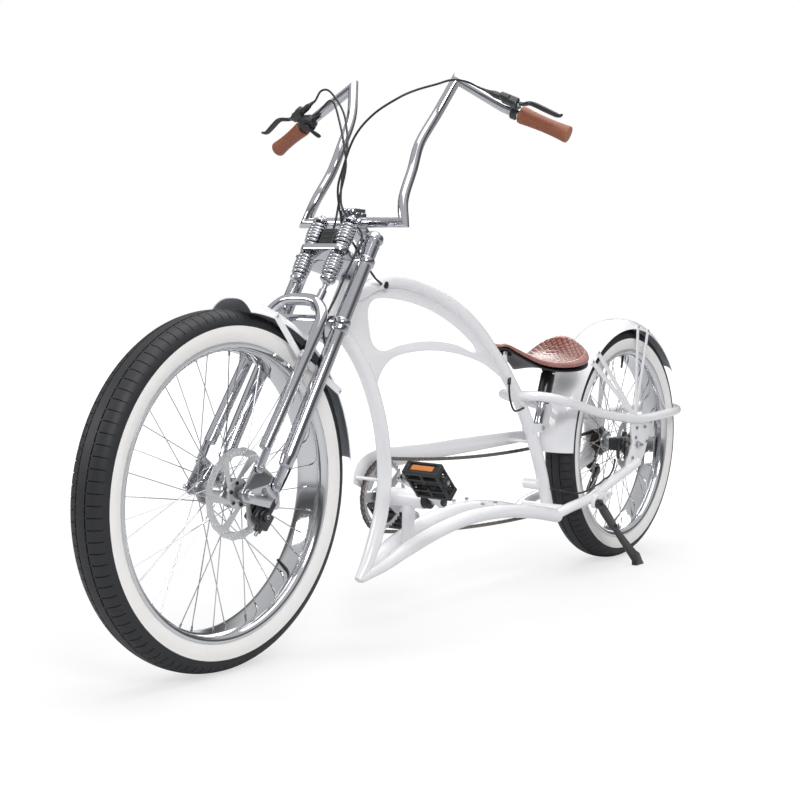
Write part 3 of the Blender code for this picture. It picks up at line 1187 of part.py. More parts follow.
def caliper(name, axle, offset, mount, face):
    """A disc brake caliper: two halves round the rotor, open towards the axle, with an ear on its mount."""
    middle = ROTOR_OFFSET + ROTOR_THICKNESS / 2.0
    spot = Vector((axle.x + offset[0], middle, axle.z + offset[1]))
    toward = Vector((-offset[0], 0.0, -offset[1])).normalized()
    tangent_line = Vector((toward.z, 0.0, -toward.x))
    body = block(name, spot, (0.050, 0.033, 0.036), BLACK_PAINT, toward, tangent_line, 0.004)
    ear_end = Vector((axle.x + mount[0], 0.0, axle.z + mount[1]))
    ear_start = Vector((spot.x, 0.0, spot.z))
    ear_middle = (ear_start + ear_end) / 2.0
    low, high = middle + 0.006, face - SEAT
    ear_middle.y = (low + high) / 2.0
    run = ear_end - ear_start
    ear = block("ear", ear_middle, (0.016, high - low, run.length + 0.012), BLACK_PAINT, run, tangent_line if
                abs(run.normalized().dot(tangent_line)) < 0.9 else toward)
    stop = rod("stop", spot - tangent_line * 0.020 - toward * 0.010, spot - tangent_line * 0.040 - toward * 0.010, 0.0042,
               BLACK_PAINT, 8)
    body = merged(body, [ear, stop])
    slot = block("slot", spot + toward * 0.005, (0.120, ROTOR_THICKNESS + 0.0024, 0.036), BLACK_PAINT, toward, tangent_line)
    body = merged(body, [slot], "DIFFERENCE")
    body.name = name
    return pivoted(body, pivot_point() if axle == FRONT_AXLE else REAR_AXLE)


crown("upper_crown", UPPER_CROWN, True)
steerer()
stem()
handlebar()
shifter()
shift_lever()
front_legs()
yoke_cover()
for side, hand in ((1.0, "left"), (-1.0, "right")):
    leg("fork_leg_" + hand, side)
    grip("grip_" + hand, side)
    brake_body("brake_body_" + hand, side)
    brake_lever("brake_lever_" + hand, side)
    spring("upper_spring_" + hand, UPPER_SPRING, side)
    spring("lower_spring_" + hand, LOWER_SPRING, side)
    rocker("rocker_" + hand, side)
caliper("front_caliper", FRONT_AXLE, (-0.0600, -0.0520), (-0.0840, -0.0280), ROCKER_INNER)
caliper("rear_caliper", REAR_AXLE, (0.0700, 0.0040), (0.0360, -0.0270), DROPOUT_INNER)


def chain_guard():
    """The flat guard over the chain's upper run, outside the chainring, with its rounded nose."""
    outline = [(-0.5310, 0.308), (-0.5330, 0.330), (-0.5450, 0.352), (-0.5750, 0.368), (-0.6320, 0.380), (-0.6830, 0.378),
               (-0.8340, 0.376), (-0.9650, 0.378), (-1.2520, 0.376), (-1.2750, 0.362), (-1.2720, 0.348), (-1.0590, 0.341),
               (-0.9220, 0.338), (-0.7400, 0.334), (-0.6600, 0.326), (-0.6150, 0.308), (-0.5980, 0.288), (-0.5850, 0.284),
               (-0.5450, 0.300)]
    return plate("chain_guard", drawn(outline), GUARD_OUTER, GUARD_INNER, WHITE_PAINT, (), side_plane())


STAND_PIVOT = (-1.345, 0.190)
STAND_FACE = 0.1020
STAND_REACH = (-1.556, 0.1220)


def stand_bracket():
    """The clamp plate on the left chainstay that carries the kickstand."""
    stay = STAY_HALF_SPREAD + STAY_RADIUS + 0.001 + SEAT
    body = block("stand_bracket", bike(-1.384, (stay + STAND_FACE) / 2.0, 0.195), (0.096, STAND_FACE - stay, 0.036),
                 WHITE_PAINT, bevel=0.002)
    return body


def kickstand():
    """The stand's leg: a hub beside the bracket, a bent rod and a foot flat on the ground."""
    low = STAND_FACE + SEAT
    hub_piece = rod("kickstand", bike(STAND_PIVOT[0], low, STAND_PIVOT[1]), bike(STAND_PIVOT[0], low + 0.0130, STAND_PIVOT[1]),
                    0.0130, BLACK_PAINT, 12)
    foot_x, foot_y = STAND_REACH
    ground = bike(foot_x, foot_y, 0.0)
    points = [bike(STAND_PIVOT[0], low + 0.0075, STAND_PIVOT[1]), bike(-1.4300, low + 0.0075, 0.1180),
              Vector((ground.x, ground.y, 0.0075))]
    leg_piece = tube("leg", points, 0.0070, BLACK_PAINT, 2)
    foot = block("foot", Vector((ground.x - 0.004, ground.y, 0.0080)), (0.040, 0.018, 0.016), BLACK_PAINT, bevel=0.003)
    body = merged(hub_piece, [leg_piece, foot])
    body.name = "kickstand"
    return pivoted(body, bike(STAND_PIVOT[0], 0.0, STAND_PIVOT[1]))


SADDLE_STATIONS = [(-0.992, 0.016, 0.6165, 0.002, 0.007), (-1.012, 0.022, 0.6190, 0.003, 0.009),
                   (-1.050, 0.028, 0.6090, 0.005, 0.013), (-1.100, 0.036, 0.5930, 0.006, 0.015),
                   (-1.140, 0.050, 0.5830, 0.008, 0.018), (-1.180, 0.070, 0.5790, 0.010, 0.020),
                   (-1.220, 0.089, 0.5810, 0.012, 0.021), (-1.255, 0.100, 0.5900, 0.016, 0.022),
                   (-1.285, 0.099, 0.6090, 0.026, 0.022), (-1.305, 0.084, 0.6280, 0.032, 0.020),
                   (-1.318, 0.055, 0.6320, 0.026, 0.016)]


def loft(name, rings, material):
    """A closed body through rings of equal point counts, with flat ends."""
    shape = bmesh.new()
    rows = [[shape.verts.new(point) for point in ring] for ring in rings]
    count = len(rows[0])
    for low, high in zip(rows, rows[1:]):
        for k in range(count):
            after = (k + 1) % count
            shape.faces.new((low[k], low[after], high[after]))
            shape.faces.new((low[k], high[after], high[k]))
    shape.faces.new(rows[0])
    shape.faces.new(list(reversed(rows[-1])))
    return solid(name, shape, material, Vector((0.0, 0.0, 0.0)))


def saddle_ring(station, shrink, top_drop, thickness, count, widest=1.0, turn=1.0):
    """One cross-section of the saddle: crowned above, drawn in at its sides, flat below."""
    x, half, top, drop, _ = station
    half -= shrink
    ring = []
    for k in range(count):
        angle = turn * 2.0 * math.pi * (k + 0.5) / count
        y = half * math.copysign(abs(math.cos(angle)) ** 0.6, math.cos(angle))
        lift = 0.5 + 0.5 * math.copysign(abs(math.sin(angle)) ** 0.6, math.sin(angle))
        pull = widest - 0.05 * (1.0 - lift)
        surface = top - drop * (y / half) ** 2 - top_drop
        ring.append(bike(x, y * pull, surface - thickness * (1.0 - lift)))
    return ring


def saddle_pad():
    """The padded top: a narrow nose, a wide seat with a raised back and drawn-in sides."""
    rings = [saddle_ring(station, 0.0, 0.0, station[4], 16) for station in SADDLE_STATIONS]
    return pivoted(loft("saddle_pad", rings, BROWN_LEATHER), saddle_hinge())


def saddle_hinge():
    return bike(SADDLE_PIVOT[0], 0.0, SADDLE_PIVOT[1])


PAN_THICKNESS = 0.0060
PAD_SEAT = 0.0007


def saddle_pan():
    """The moulded base under the pad, with the nose lug on the hinge and the clevis over the strut."""
    inner = SADDLE_STATIONS[:-1]
    rings = [saddle_ring(station, 0.001, station[4] + PAD_SEAT, PAN_THICKNESS, 16, 0.95, -1.0) for station in inner]
    body = loft("saddle_pan", rings, BLACK_PLASTIC)
    x, z = SADDLE_PIVOT
    lug = plate("lug", stadium(drawn([(x, z, 0.0058), (x - 0.030, z - 0.004, 0.0058)]), 3), -EAR_INNER + 0.0006,
                EAR_INNER - 0.0006, BLACK_PLASTIC, (), side_plane())
    extras = [lug]
    for side in (1.0, -1.0):
        low, high = sorted((side * CLEVIS_INNER, side * (CLEVIS_INNER + 0.0040)))
        top = (STRUT_HEAD[0] - 0.002, STRUT_HEAD[1] + 0.012, 0.0060)
        extras.append(plate("ear", stadium(drawn([(*STRUT_HEAD, 0.0100), top]), 3), low, high, BLACK_PLASTIC, (), side_plane()))
    pin = CLEVIS_INNER + 0.0050
    extras.append(rod("pin", bike(STRUT_HEAD[0], -pin, STRUT_HEAD[1]), bike(STRUT_HEAD[0], pin, STRUT_HEAD[1]), 0.0040,
                      BLACK_PLASTIC, 8))
    body = merged(body, extras)
    bore = rod("bore", bike(x, -0.03, z), bike(x, 0.03, z), true_radius(0.0030 + SEAT, 10), BLACK_PLASTIC, 10)
    body = merged(body, [bore], "DIFFERENCE")
    body.name = "saddle_pan"
    return pivoted(body, saddle_hinge())


STRUT_PLAY = 0.0020
STRUT_TRAVEL = 0.030


def strut_point(along, across=0.0):
    foot = bike(STRUT_FOOT[0], across, STRUT_FOOT[1])
    head = bike(STRUT_HEAD[0], across, STRUT_HEAD[1])
    return foot + (head - foot).normalized() * along


def strut_length():
    return math.hypot(STRUT_HEAD[0] - STRUT_FOOT[0], STRUT_HEAD[1] - STRUT_FOOT[1])


def strut_shaft():
    """The polished shaft on the frame's clevis."""
    eye = CLEVIS_INNER - 0.0006
    body = rod("strut_shaft", strut_point(0.0, -eye), strut_point(0.0, eye), 0.0105, CHROME, 14)
    shaft = rod("shaft", strut_point(0.006), strut_point(strut_length() - 0.068), 0.0120, CHROME, 14)
    body = merged(body, [shaft])
    body = merged(body, [rod("bore", strut_point(0.0, -0.04), strut_point(0.0, 0.04), true_radius(0.0040 + SEAT, 8), CHROME, 8)], "DIFFERENCE")
    body.name = "strut_shaft"
    return pivoted(body, strut_point(0.0))


def strut_body():
    """The strut's outer sleeve over the shaft, with its eye in the saddle's clevis."""
    eye = CLEVIS_INNER - 0.0006
    high = strut_length()
    direction = (strut_point(1.0) - strut_point(0.0)).normalized()
    profile = [(high - 0.012, 0.0), (high - 0.012, 0.0185), (high - 0.088, 0.0185), (high - 0.092, 0.0165),
               (high - 0.092, 0.0120 + RUNNING), (high - 0.038, 0.0120 + RUNNING), (high - 0.038, 0.0)]
    body = turned("strut_body", profile, strut_point(0.0), direction, BLACK_PAINT, 14)
    neck = rod("neck", strut_point(high - 0.020), strut_point(high - 0.003), 0.0090, BLACK_PAINT, 12)
    body = merged(body, [neck, rod("eye", strut_point(high, -eye), strut_point(high, eye), 0.0105, BLACK_PAINT, 12)])
    bore = rod("bore", strut_point(high, -0.04), strut_point(high, 0.04), true_radius(0.0040 + STRUT_PLAY, 8), BLACK_PAINT, 8)
    body = merged(body, [bore], "DIFFERENCE")
    body.name = "strut_body"
    return pivoted(body, strut_point(0.0))


def derailleur():
    """The derailleur: its body outside the dropout and the two cage plates that carry the guide wheels."""
    middle = cog_y(CHAIN_COG)
    inner, outer = middle + 0.0055, middle - 0.0057
    upper, lower = (JOCKEY_X, JOCKEY_UPPER_Z), (JOCKEY_LOWER_X, JOCKEY_LOWER_Z)
    face = -DROPOUT_INNER - DROPOUT_THICKNESS - SEAT
    body = block("derailleur", bike(-1.6450, face - 0.0080, 0.2610), (0.030, 0.0160, 0.056), BLACK_PAINT, bevel=0.003)
    outline = stadium(drawn([(*upper, 0.0110), (*lower, 0.0110)]), 3)
    pieces = [plate("cage", outline, outer, outer + 0.0015, BLACK_PAINT, (), side_plane()),
              plate("cage", outline, inner - 0.0015, inner, BLACK_PAINT, (), side_plane()),
              rod("knuckle", bike(upper[0], face - 0.0040, upper[1] - 0.003), bike(upper[0], outer + 0.0007, upper[1] - 0.003),
                  0.0075, BLACK_PAINT, 10)]
    for x, z in (upper, lower):
        pieces.append(rod("pin", bike(x, outer, z), bike(x, inner, z), 0.0030, BLACK_PAINT, 8))
    body = merged(body, pieces)
    body.name = "derailleur"
    return pivoted(body, bike(upper[0], 0.0, upper[1]))


def jockey(name, x, z):
    """A guide wheel of the derailleur."""
    pitch = pitch_radius(JOCKEY_TEETH)
    middle = cog_y(CHAIN_COG)
    shift = Matrix.Translation(bike(x, 0.0, z))
    made = plate(name, gear_outline(JOCKEY_TEETH, pitch - TIP_GAP, pitch - TIP_GAP - 0.003), middle - 0.0013, middle + 0.0013,
                 BLACK_PLASTIC, [circle(0.0, 0.0, true_radius(0.0030 + SEAT, 8), 8)], shift @ side_plane())
    return pivoted(made, bike(x, 0.0, z))


CABLE_RADIUS = 0.0024
GROMMET = (-0.505, 0.0185, 0.7560)
REAR_CABLE = [(-0.5497, 0.2365, 1.1672), (-0.5464, 0.2237, 1.1728), (-0.522, 0.203, 1.1850), (-0.485, 0.192, 1.1840),
              (-0.446, 0.180, 1.171), (-0.405, 0.160, 1.156),
              (-0.376, 0.136, 1.138), (-0.348, 0.094, 1.104), (-0.330, 0.060, 1.058), (-0.322, 0.036, 0.991),
              (-0.328, 0.020, 0.950), (-0.345, 0.015, 0.900), (-0.362, 0.014, 0.868), (-0.385, 0.022, 0.838),
              (-0.404, 0.030, 0.810), (-0.425, 0.032, 0.788), (-0.451, 0.029, 0.770), (-0.474, 0.0240, 0.761),
              (-0.4860, 0.0186, 0.7575)]
SHIFT_CABLE = [(-0.5571, -0.2398, 1.1320), (-0.5548, -0.2309, 1.1359), (-0.5480, -0.2050, 1.1540),
               (-0.538, -0.176, 1.1680), (-0.518, -0.145, 1.156),
               (-0.492, -0.110, 1.115), (-0.458, -0.070, 1.064), (-0.432, -0.042, 1.008), (-0.405, -0.034, 0.950),
               (-0.385, -0.030, 0.890), (-0.376, -0.034, 0.850), (-0.386, -0.036, 0.812), (-0.420, -0.032, 0.786),
               (-0.455, -0.028, 0.768), (-0.480, -0.0235, 0.761), (-0.4920, -0.0187, 0.7585)]
FRONT_CABLE = [(-0.5497, -0.2365, 1.1672), (-0.5464, -0.2237, 1.1728), (-0.528, -0.192, 1.1900), (-0.510, -0.150, 1.182),
               (-0.486, -0.092, 1.128),
               (-0.440, -0.045, 1.052), (-0.398, -0.024, 0.985), (-0.4008, -0.015, 0.9214)]
FRONT_CABLE_LOW = [(0.118, 0.100, -0.012), (0.090, 0.090, 0.015), (0.060, 0.078, 0.052), (0.030, 0.086, 0.070),
                   (-0.004, 0.095, 0.075), (-0.060, 0.094, 0.070), (-0.110, 0.090, 0.064), (-0.151, 0.0885, 0.058),
                   (-0.178, 0.078, 0.0555), (-0.198, 0.064, 0.0575), (-0.218, 0.051, 0.063), (-0.242, 0.0452, 0.071),
                   (-0.270, 0.0452, 0.078), (-0.340, 0.0452, 0.080), (-0.410, 0.0452, 0.079), (-0.445, 0.036, 0.073)]
FRONT_CABLE_END = [(-0.1180, 0.0600, 0.3560), (-0.1045, 0.0525, 0.3360), (-0.0944, 0.0510, 0.3244)]
REAR_RUN = [(-1.2420, 0.0190, 0.2320), (-1.2400, 0.0380, 0.2320), (-1.2580, 0.0640, 0.2260), (-1.3000, 0.0800, 0.2220),
            (-1.3800, 0.0840, 0.2360), (-1.4300, 0.0750, 0.2440), (-1.4750, 0.0660, 0.2473), (-1.5150, 0.0560, 0.2600),
            (-1.5340, 0.0515, 0.2790), (-1.5366, 0.0503, 0.2892)]


def cable(name, points):
    """A held cable, made whole along its real route."""
    return pivoted(tube(name, smooth(points, 2), CABLE_RADIUS, BLACK_RUBBER, 0), fork(0.0, 0.0, 0.0))


def front_cable_points():
    upper = [bike(*point) for point in FRONT_CABLE[:-1]]
    return upper + [fork(*point) for point in FRONT_CABLE_LOW] + [bike(*point) for point in FRONT_CABLE_END]


chain_guard()
stand_bracket()
kickstand()
saddle_pad()
saddle_pan()
strut_shaft()
strut_body()
derailleur()
jockey("jockey_upper", JOCKEY_X, JOCKEY_UPPER_Z)
jockey("jockey_lower", JOCKEY_LOWER_X, JOCKEY_LOWER_Z)
cable("rear_brake_cable", [bike(*point) for point in REAR_CABLE])
cable("shift_cable", [bike(*point) for point in SHIFT_CABLE])
cable("front_brake_cable", front_cable_points())
cable("rear_cable_run", [bike(*point) for point in REAR_RUN])
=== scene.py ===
import math
import random

import bmesh
import bpy
from mathutils import Matrix, Vector


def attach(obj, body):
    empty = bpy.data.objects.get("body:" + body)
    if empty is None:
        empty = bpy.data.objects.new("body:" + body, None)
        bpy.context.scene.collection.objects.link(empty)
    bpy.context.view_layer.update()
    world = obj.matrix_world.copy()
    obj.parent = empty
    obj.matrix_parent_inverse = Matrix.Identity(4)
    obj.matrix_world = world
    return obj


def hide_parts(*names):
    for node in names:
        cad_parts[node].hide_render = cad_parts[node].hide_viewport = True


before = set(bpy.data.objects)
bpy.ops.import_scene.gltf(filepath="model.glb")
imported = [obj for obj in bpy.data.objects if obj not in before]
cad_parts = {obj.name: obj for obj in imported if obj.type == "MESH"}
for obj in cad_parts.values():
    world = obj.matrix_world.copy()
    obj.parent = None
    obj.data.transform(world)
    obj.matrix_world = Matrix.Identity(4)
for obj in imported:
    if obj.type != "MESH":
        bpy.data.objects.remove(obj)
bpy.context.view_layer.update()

# Camera
# Solved from both wheels' outlines: 2.06 m ahead of the front axle, 1.93 m to the left, 0.76 m up.
AXLE_X = 0.8224
camera = bpy.data.objects.new("camera", bpy.data.cameras.new("camera"))
bpy.context.scene.collection.objects.link(camera)
yaw, pitch, roll = -2.5127, -0.0791, 0.0204
ahead = Vector((math.cos(pitch) * math.cos(yaw), math.cos(pitch) * math.sin(yaw), math.sin(pitch)))
side = ahead.cross(Vector((0, 0, 1))).normalized()
above = side.cross(ahead)
side, above = side * math.cos(roll) + above * math.sin(roll), above * math.cos(roll) - side * math.sin(roll)
turn = Matrix((side, above, -ahead)).transposed()
camera.matrix_world = Matrix.Translation((2.0612 + AXLE_X, 1.9286, 0.7581)) @ turn.to_4x4()
camera.data.sensor_width = 36.0
camera.data.lens = 65.68
camera.data.clip_end = 60.0
bpy.context.scene.camera = camera

# Studio
# A pale floor under four soft lights, and a world that gives the chrome pale and grey bands.
floor_mesh = bmesh.new()
profile = [(-5.0, 0.0), (5.0, 0.0)]
grid = [[floor_mesh.verts.new((x, y, -0.0004)) for x in (-14.0, 14.0)] for y in (-14.0, 14.0)]
floor_mesh.faces.new((grid[0][0], grid[0][1], grid[1][1], grid[1][0]))
floor_data = bpy.data.meshes.new("floor")
floor_mesh.to_mesh(floor_data)
floor = bpy.data.objects.new("floor", floor_data)
bpy.context.scene.collection.objects.link(floor)


def rgb(text):
    """An sRGB hex colour as linear values."""
    parts = [int(text[k:k + 2], 16) / 255.0 for k in (0, 2, 4)]
    return tuple(c / 12.92 if c <= 0.04045 else ((c + 0.055) / 1.055) ** 2.4 for c in parts) + (1.0,)


def shade(name, colour, second=None, rough=(0.3, 0.4), metal=0.0, size=40.0, bump=0.0, grain=1.0, stretch=(1, 1, 1), coat=0.0,
          sheen=0.0, detail=4.0, wear=None):
    """A Principled material: two colours mixed by noise of a real size in mm, a roughness range, a fine bump, worn edges."""
    made = bpy.data.materials.new(name)
    made.use_nodes = True
    tree = made.node_tree
    nodes, links = tree.nodes, tree.links
    face = nodes["Principled BSDF"]
    face.inputs["Metallic"].default_value = metal
    face.inputs["Coat Weight"].default_value = coat
    face.inputs["Coat Roughness"].default_value = 0.06
    face.inputs["Sheen Weight"].default_value = sheen
    place = nodes.new("ShaderNodeTexCoord")
    mapping = nodes.new("ShaderNodeMapping")
    mapping.inputs["Scale"].default_value = stretch
    links.new(place.outputs["Object"], mapping.inputs["Vector"])
    cloud = nodes.new("ShaderNodeTexNoise")
    cloud.inputs["Scale"].default_value = 1000.0 / size
    cloud.inputs["Detail"].default_value = detail
    links.new(mapping.outputs["Vector"], cloud.inputs["Vector"])
    mix = nodes.new("ShaderNodeMix")
    mix.data_type = "RGBA"
    mix.inputs["A"].default_value = rgb(colour)
    mix.inputs["B"].default_value = rgb(second or colour)
    links.new(cloud.outputs["Fac"], mix.inputs["Factor"])
    tint = mix.outputs["Result"]
    if wear:
        edges = nodes.new("ShaderNodeNewGeometry")
        ramp = nodes.new("ShaderNodeMapRange")
        ramp.inputs["From Min"].default_value = 0.52
        ramp.inputs["From Max"].default_value = 0.60
        links.new(edges.outputs["Pointiness"], ramp.inputs["Value"])
        worn = nodes.new("ShaderNodeMix")
        worn.data_type = "RGBA"
        worn.inputs["B"].default_value = rgb(wear)
        links.new(ramp.outputs["Result"], worn.inputs["Factor"])
        links.new(tint, worn.inputs["A"])
        tint = worn.outputs["Result"]
    links.new(tint, face.inputs["Base Color"])
    span = nodes.new("ShaderNodeMapRange")
    span.inputs["To Min"].default_value = rough[0]
    span.inputs["To Max"].default_value = rough[1]
    links.new(cloud.outputs["Fac"], span.inputs["Value"])
    links.new(span.outputs["Result"], face.inputs["Roughness"])
    if bump:
        fine = nodes.new("ShaderNodeTexNoise")
        fine.inputs["Scale"].default_value = 1000.0 / grain
        fine.inputs["Detail"].default_value = 2.0
        links.new(mapping.outputs["Vector"], fine.inputs["Vector"])
        relief = nodes.new("ShaderNodeBump")
        relief.inputs["Strength"].default_value = 0.6
        relief.inputs["Distance"].default_value = bump / 1000.0
        links.new(fine.outputs["Fac"], relief.inputs["Height"])
        links.new(relief.outputs["Normal"], face.inputs["Normal"])
    return made


WHITE = shade("white_gloss", "f3f3f6", "f6f6f8", (0.20, 0.26), 0.0, 180, bump=0.02, grain=3.0, coat=0.6)
CHROME = shade("chrome", "c6c7cc", "cccdd2", (0.035, 0.075), 1.0, 60, bump=0.008, grain=6.0)
POLISHED = shade("polished_rim", "cfd1d4", "d8d9db", (0.06, 0.11), 1.0, 50, bump=0.01, grain=4.0)
STEEL = shade("satin_steel", "a9abae", "bfc1c3", (0.22, 0.38), 1.0, 12, bump=0.02, grain=0.6)
SPOKE = shade("spoke_steel", "b9bbbe", "c6c7c9", (0.16, 0.26), 1.0, 20)
ALLOY = shade("alloy", "b4b6b8", "c2c3c4", (0.26, 0.36), 1.0, 18, bump=0.02, grain=0.5)
DARK = shade("oiled_steel", "4b4844", "66605a", (0.30, 0.50), 1.0, 6, bump=0.03, grain=0.8)
BLACK = shade("black_paint", "17181a", "1f2022", (0.28, 0.42), 0.0, 25, bump=0.02, grain=1.2, coat=0.3, wear="2c2d2f")
PLASTIC = shade("black_plastic", "141516", "1c1d1f", (0.42, 0.58), 0.0, 14, bump=0.05, grain=0.7, wear="2a2b2d")
RUBBER = shade("tread_rubber", "1c1d20", "26272b", (0.46, 0.62), 0.0, 30, bump=0.05, grain=1.0, wear="303133")
WALL = shade("white_rubber", "f3f1ee", "f9f8f6", (0.42, 0.55), 0.0, 60, bump=0.03, grain=1.5)
HOSE = shade("cable_jacket", "131415", "1d1e20", (0.30, 0.42), 0.0, 10, bump=0.02, grain=0.8)
INSIDE = shade("fender_inside", "a9afb5", "b6bbc1", (0.35, 0.50), 0.0, 60, bump=0.03, grain=2.0)
AMBER = shade("amber_lens", "c9691c", "e08a2c", (0.12, 0.22), 0.0, 5, bump=0.25, grain=2.2, coat=0.8)
FLOOR = shade("floor", "cbcbcd", "cecfd0", (0.7, 0.8), 0.0, 900)
floor.data.materials.append(FLOOR)
net = FLOOR.node_tree
gloss = next(n for n in net.nodes if n.type == "BSDF_PRINCIPLED")
target = next(n for n in net.nodes if n.type == "OUTPUT_MATERIAL")
glow = net.nodes.new("ShaderNodeEmission")
glow.inputs["Strength"].default_value = 1.25
place = net.nodes.new("ShaderNodeTexCoord")
away = net.nodes.new("ShaderNodeVectorMath")
away.operation = "LENGTH"
net.links.new(place.outputs["Object"], away.inputs[0])
fade = net.nodes.new("ShaderNodeMapRange")
fade.interpolation_type = "SMOOTHSTEP"
fade.inputs["From Min"].default_value = 1.0
fade.inputs["From Max"].default_value = 2.6
fade.inputs["To Min"].default_value = 0.52
fade.inputs["To Max"].default_value = 1.0
net.links.new(away.outputs["Value"], fade.inputs["Value"])
path = net.nodes.new("ShaderNodeLightPath")
share = net.nodes.new("ShaderNodeMath")
share.operation = "MULTIPLY"
net.links.new(path.outputs["Is Camera Ray"], share.inputs[0])
net.links.new(fade.outputs["Result"], share.inputs[1])
mixed = net.nodes.new("ShaderNodeMixShader")
net.links.new(share.outputs["Value"], mixed.inputs["Fac"])
net.links.new(gloss.outputs["BSDF"], mixed.inputs[1])
net.links.new(glow.outputs["Emission"], mixed.inputs[2])
net.links.new(mixed.outputs["Shader"], target.inputs["Surface"])

world = bpy.data.worlds.new("studio")
bpy.context.scene.world = world
world.use_nodes = True
sky = world.node_tree
back = sky.nodes["Background"]
direction = sky.nodes.new("ShaderNodeTexCoord")
split = sky.nodes.new("ShaderNodeSeparateXYZ")
sky.links.new(direction.outputs["Generated"], split.inputs["Vector"])
bands = sky.nodes.new("ShaderNodeValToRGB")
stops = bands.color_ramp.elements
stops[0].position, stops[0].color = 0.0, (0.62, 0.62, 0.63, 1)
stops[1].position, stops[1].color = 1.0, (0.95, 0.95, 0.96, 1)
for where, value in ((0.44, 0.62), (0.492, 0.78), (0.52, 0.34), (0.57, 0.16), (0.65, 0.26), (0.72, 0.74), (0.80, 1.10)):
    stop = stops.new(where)
    stop.color = (value, value, value * 1.01, 1)
lift = sky.nodes.new("ShaderNodeMapRange")
lift.inputs["From Min"].default_value = -1.0
lift.inputs["From Max"].default_value = 1.0
sky.links.new(split.outputs["Z"], lift.inputs["Value"])
sky.links.new(lift.outputs["Result"], bands.inputs["Fac"])
sky.links.new(bands.outputs["Color"], back.inputs["Color"])
back.inputs["Strength"].default_value = 0.60
plain = sky.nodes.new("ShaderNodeBackground")
plain.inputs["Color"].default_value = (1.0, 1.0, 1.0, 1.0)
plain.inputs["Strength"].default_value = 1.0
seen = sky.nodes.new("ShaderNodeLightPath")
either = sky.nodes.new("ShaderNodeMixShader")
sky.links.new(seen.outputs["Is Camera Ray"], either.inputs["Fac"])
sky.links.new(back.outputs["Background"], either.inputs[1])
sky.links.new(plain.outputs["Background"], either.inputs[2])
sky.links.new(either.outputs["Shader"], sky.nodes["World Output"].inputs["Surface"])

for label, spot, size, power in (("key", (3.2, 3.4, 3.4), 1.7, 98.0), ("fill", (3.4, -2.8, 2.2), 1.5, 40.0),
                                 ("top", (0.0, 0.4, 3.8), 4.2, 84.0), ("back", (-3.2, -1.6, 2.6), 2.2, 40.0)):
    lamp = bpy.data.lights.new(label, "AREA")
    lamp.shape = "RECTANGLE"
    lamp.size, lamp.size_y = size, size * 0.7
    lamp.energy = power
    holder = bpy.data.objects.new(label, lamp)
    bpy.context.scene.collection.objects.link(holder)
    holder.location = spot
    holder.rotation_mode = "QUATERNION"
    holder.rotation_quaternion = (Vector((0, 0, 0.45)) - Vector(spot)).to_track_quat("-Z", "Y")
bpy.context.scene.view_settings.view_transform = "Standard"
bpy.context.scene.view_settings.look = "None"
bpy.context.scene.view_settings.exposure = 0.0


# Mesh makers
# at() takes places measured from the front axle; fork() takes places along, ahead of and across the steering axis.
def at(x, y, z):
    return Vector((x + AXLE_X, y, z))


FORK_UP = Vector((-math.sin(math.radians(31.4)), 0.0, math.cos(math.radians(31.4))))
FORK_AHEAD = Vector((math.cos(math.radians(31.4)), 0.0, math.sin(math.radians(31.4))))


def fork(s, d, y):
    return at(-0.404, y, 0.773) + FORK_UP * s + FORK_AHEAD * d


def smooth(points, steps, closed=False):
    """Points on a Catmull-Rom curve through the given ones."""
    count = len(points)
    made = []
    for k in range(count if closed else count - 1):
        if closed:
            a, b, c, d = (points[(k + j) % count] for j in (-1, 0, 1, 2))
        else:
            b, c = points[k], points[k + 1]
            a = points[k - 1] if k else b + (b - c)
            d = points[k + 2] if k + 2 < count else c + (c - b)
        for j in range(steps):
            t = j / steps
            made.append(0.5 * (2 * b + (c - a) * t + (2 * a - 5 * b + 4 * c - d) * t * t + (3 * b - a - 3 * c + d) * t ** 3))
    if not closed:
        made.append(points[-1].copy())
    return made


def skin(bm, rings, mat, around=True, ends=(True, True), loop=False):
    """Faces between rings of points, with flat ends."""
    rows = [[bm.verts.new(p) for p in ring] for ring in rings]
    count = len(rows[0])
    pairs = list(zip(rows, rows[1:])) + ([(rows[-1], rows[0])] if loop else [])
    made = []
    for low, high in pairs:
        for k in range(count if around else count - 1):
            n = (k + 1) % count
            made.append(bm.faces.new((low[k], low[n], high[n], high[k])))
    if around and not loop:
        if ends[0]:
            made.append(bm.faces.new(list(reversed(rows[0]))))
        if ends[1]:
            made.append(bm.faces.new(rows[-1]))
    for f in made:
        f.material_index = mat
    return rows


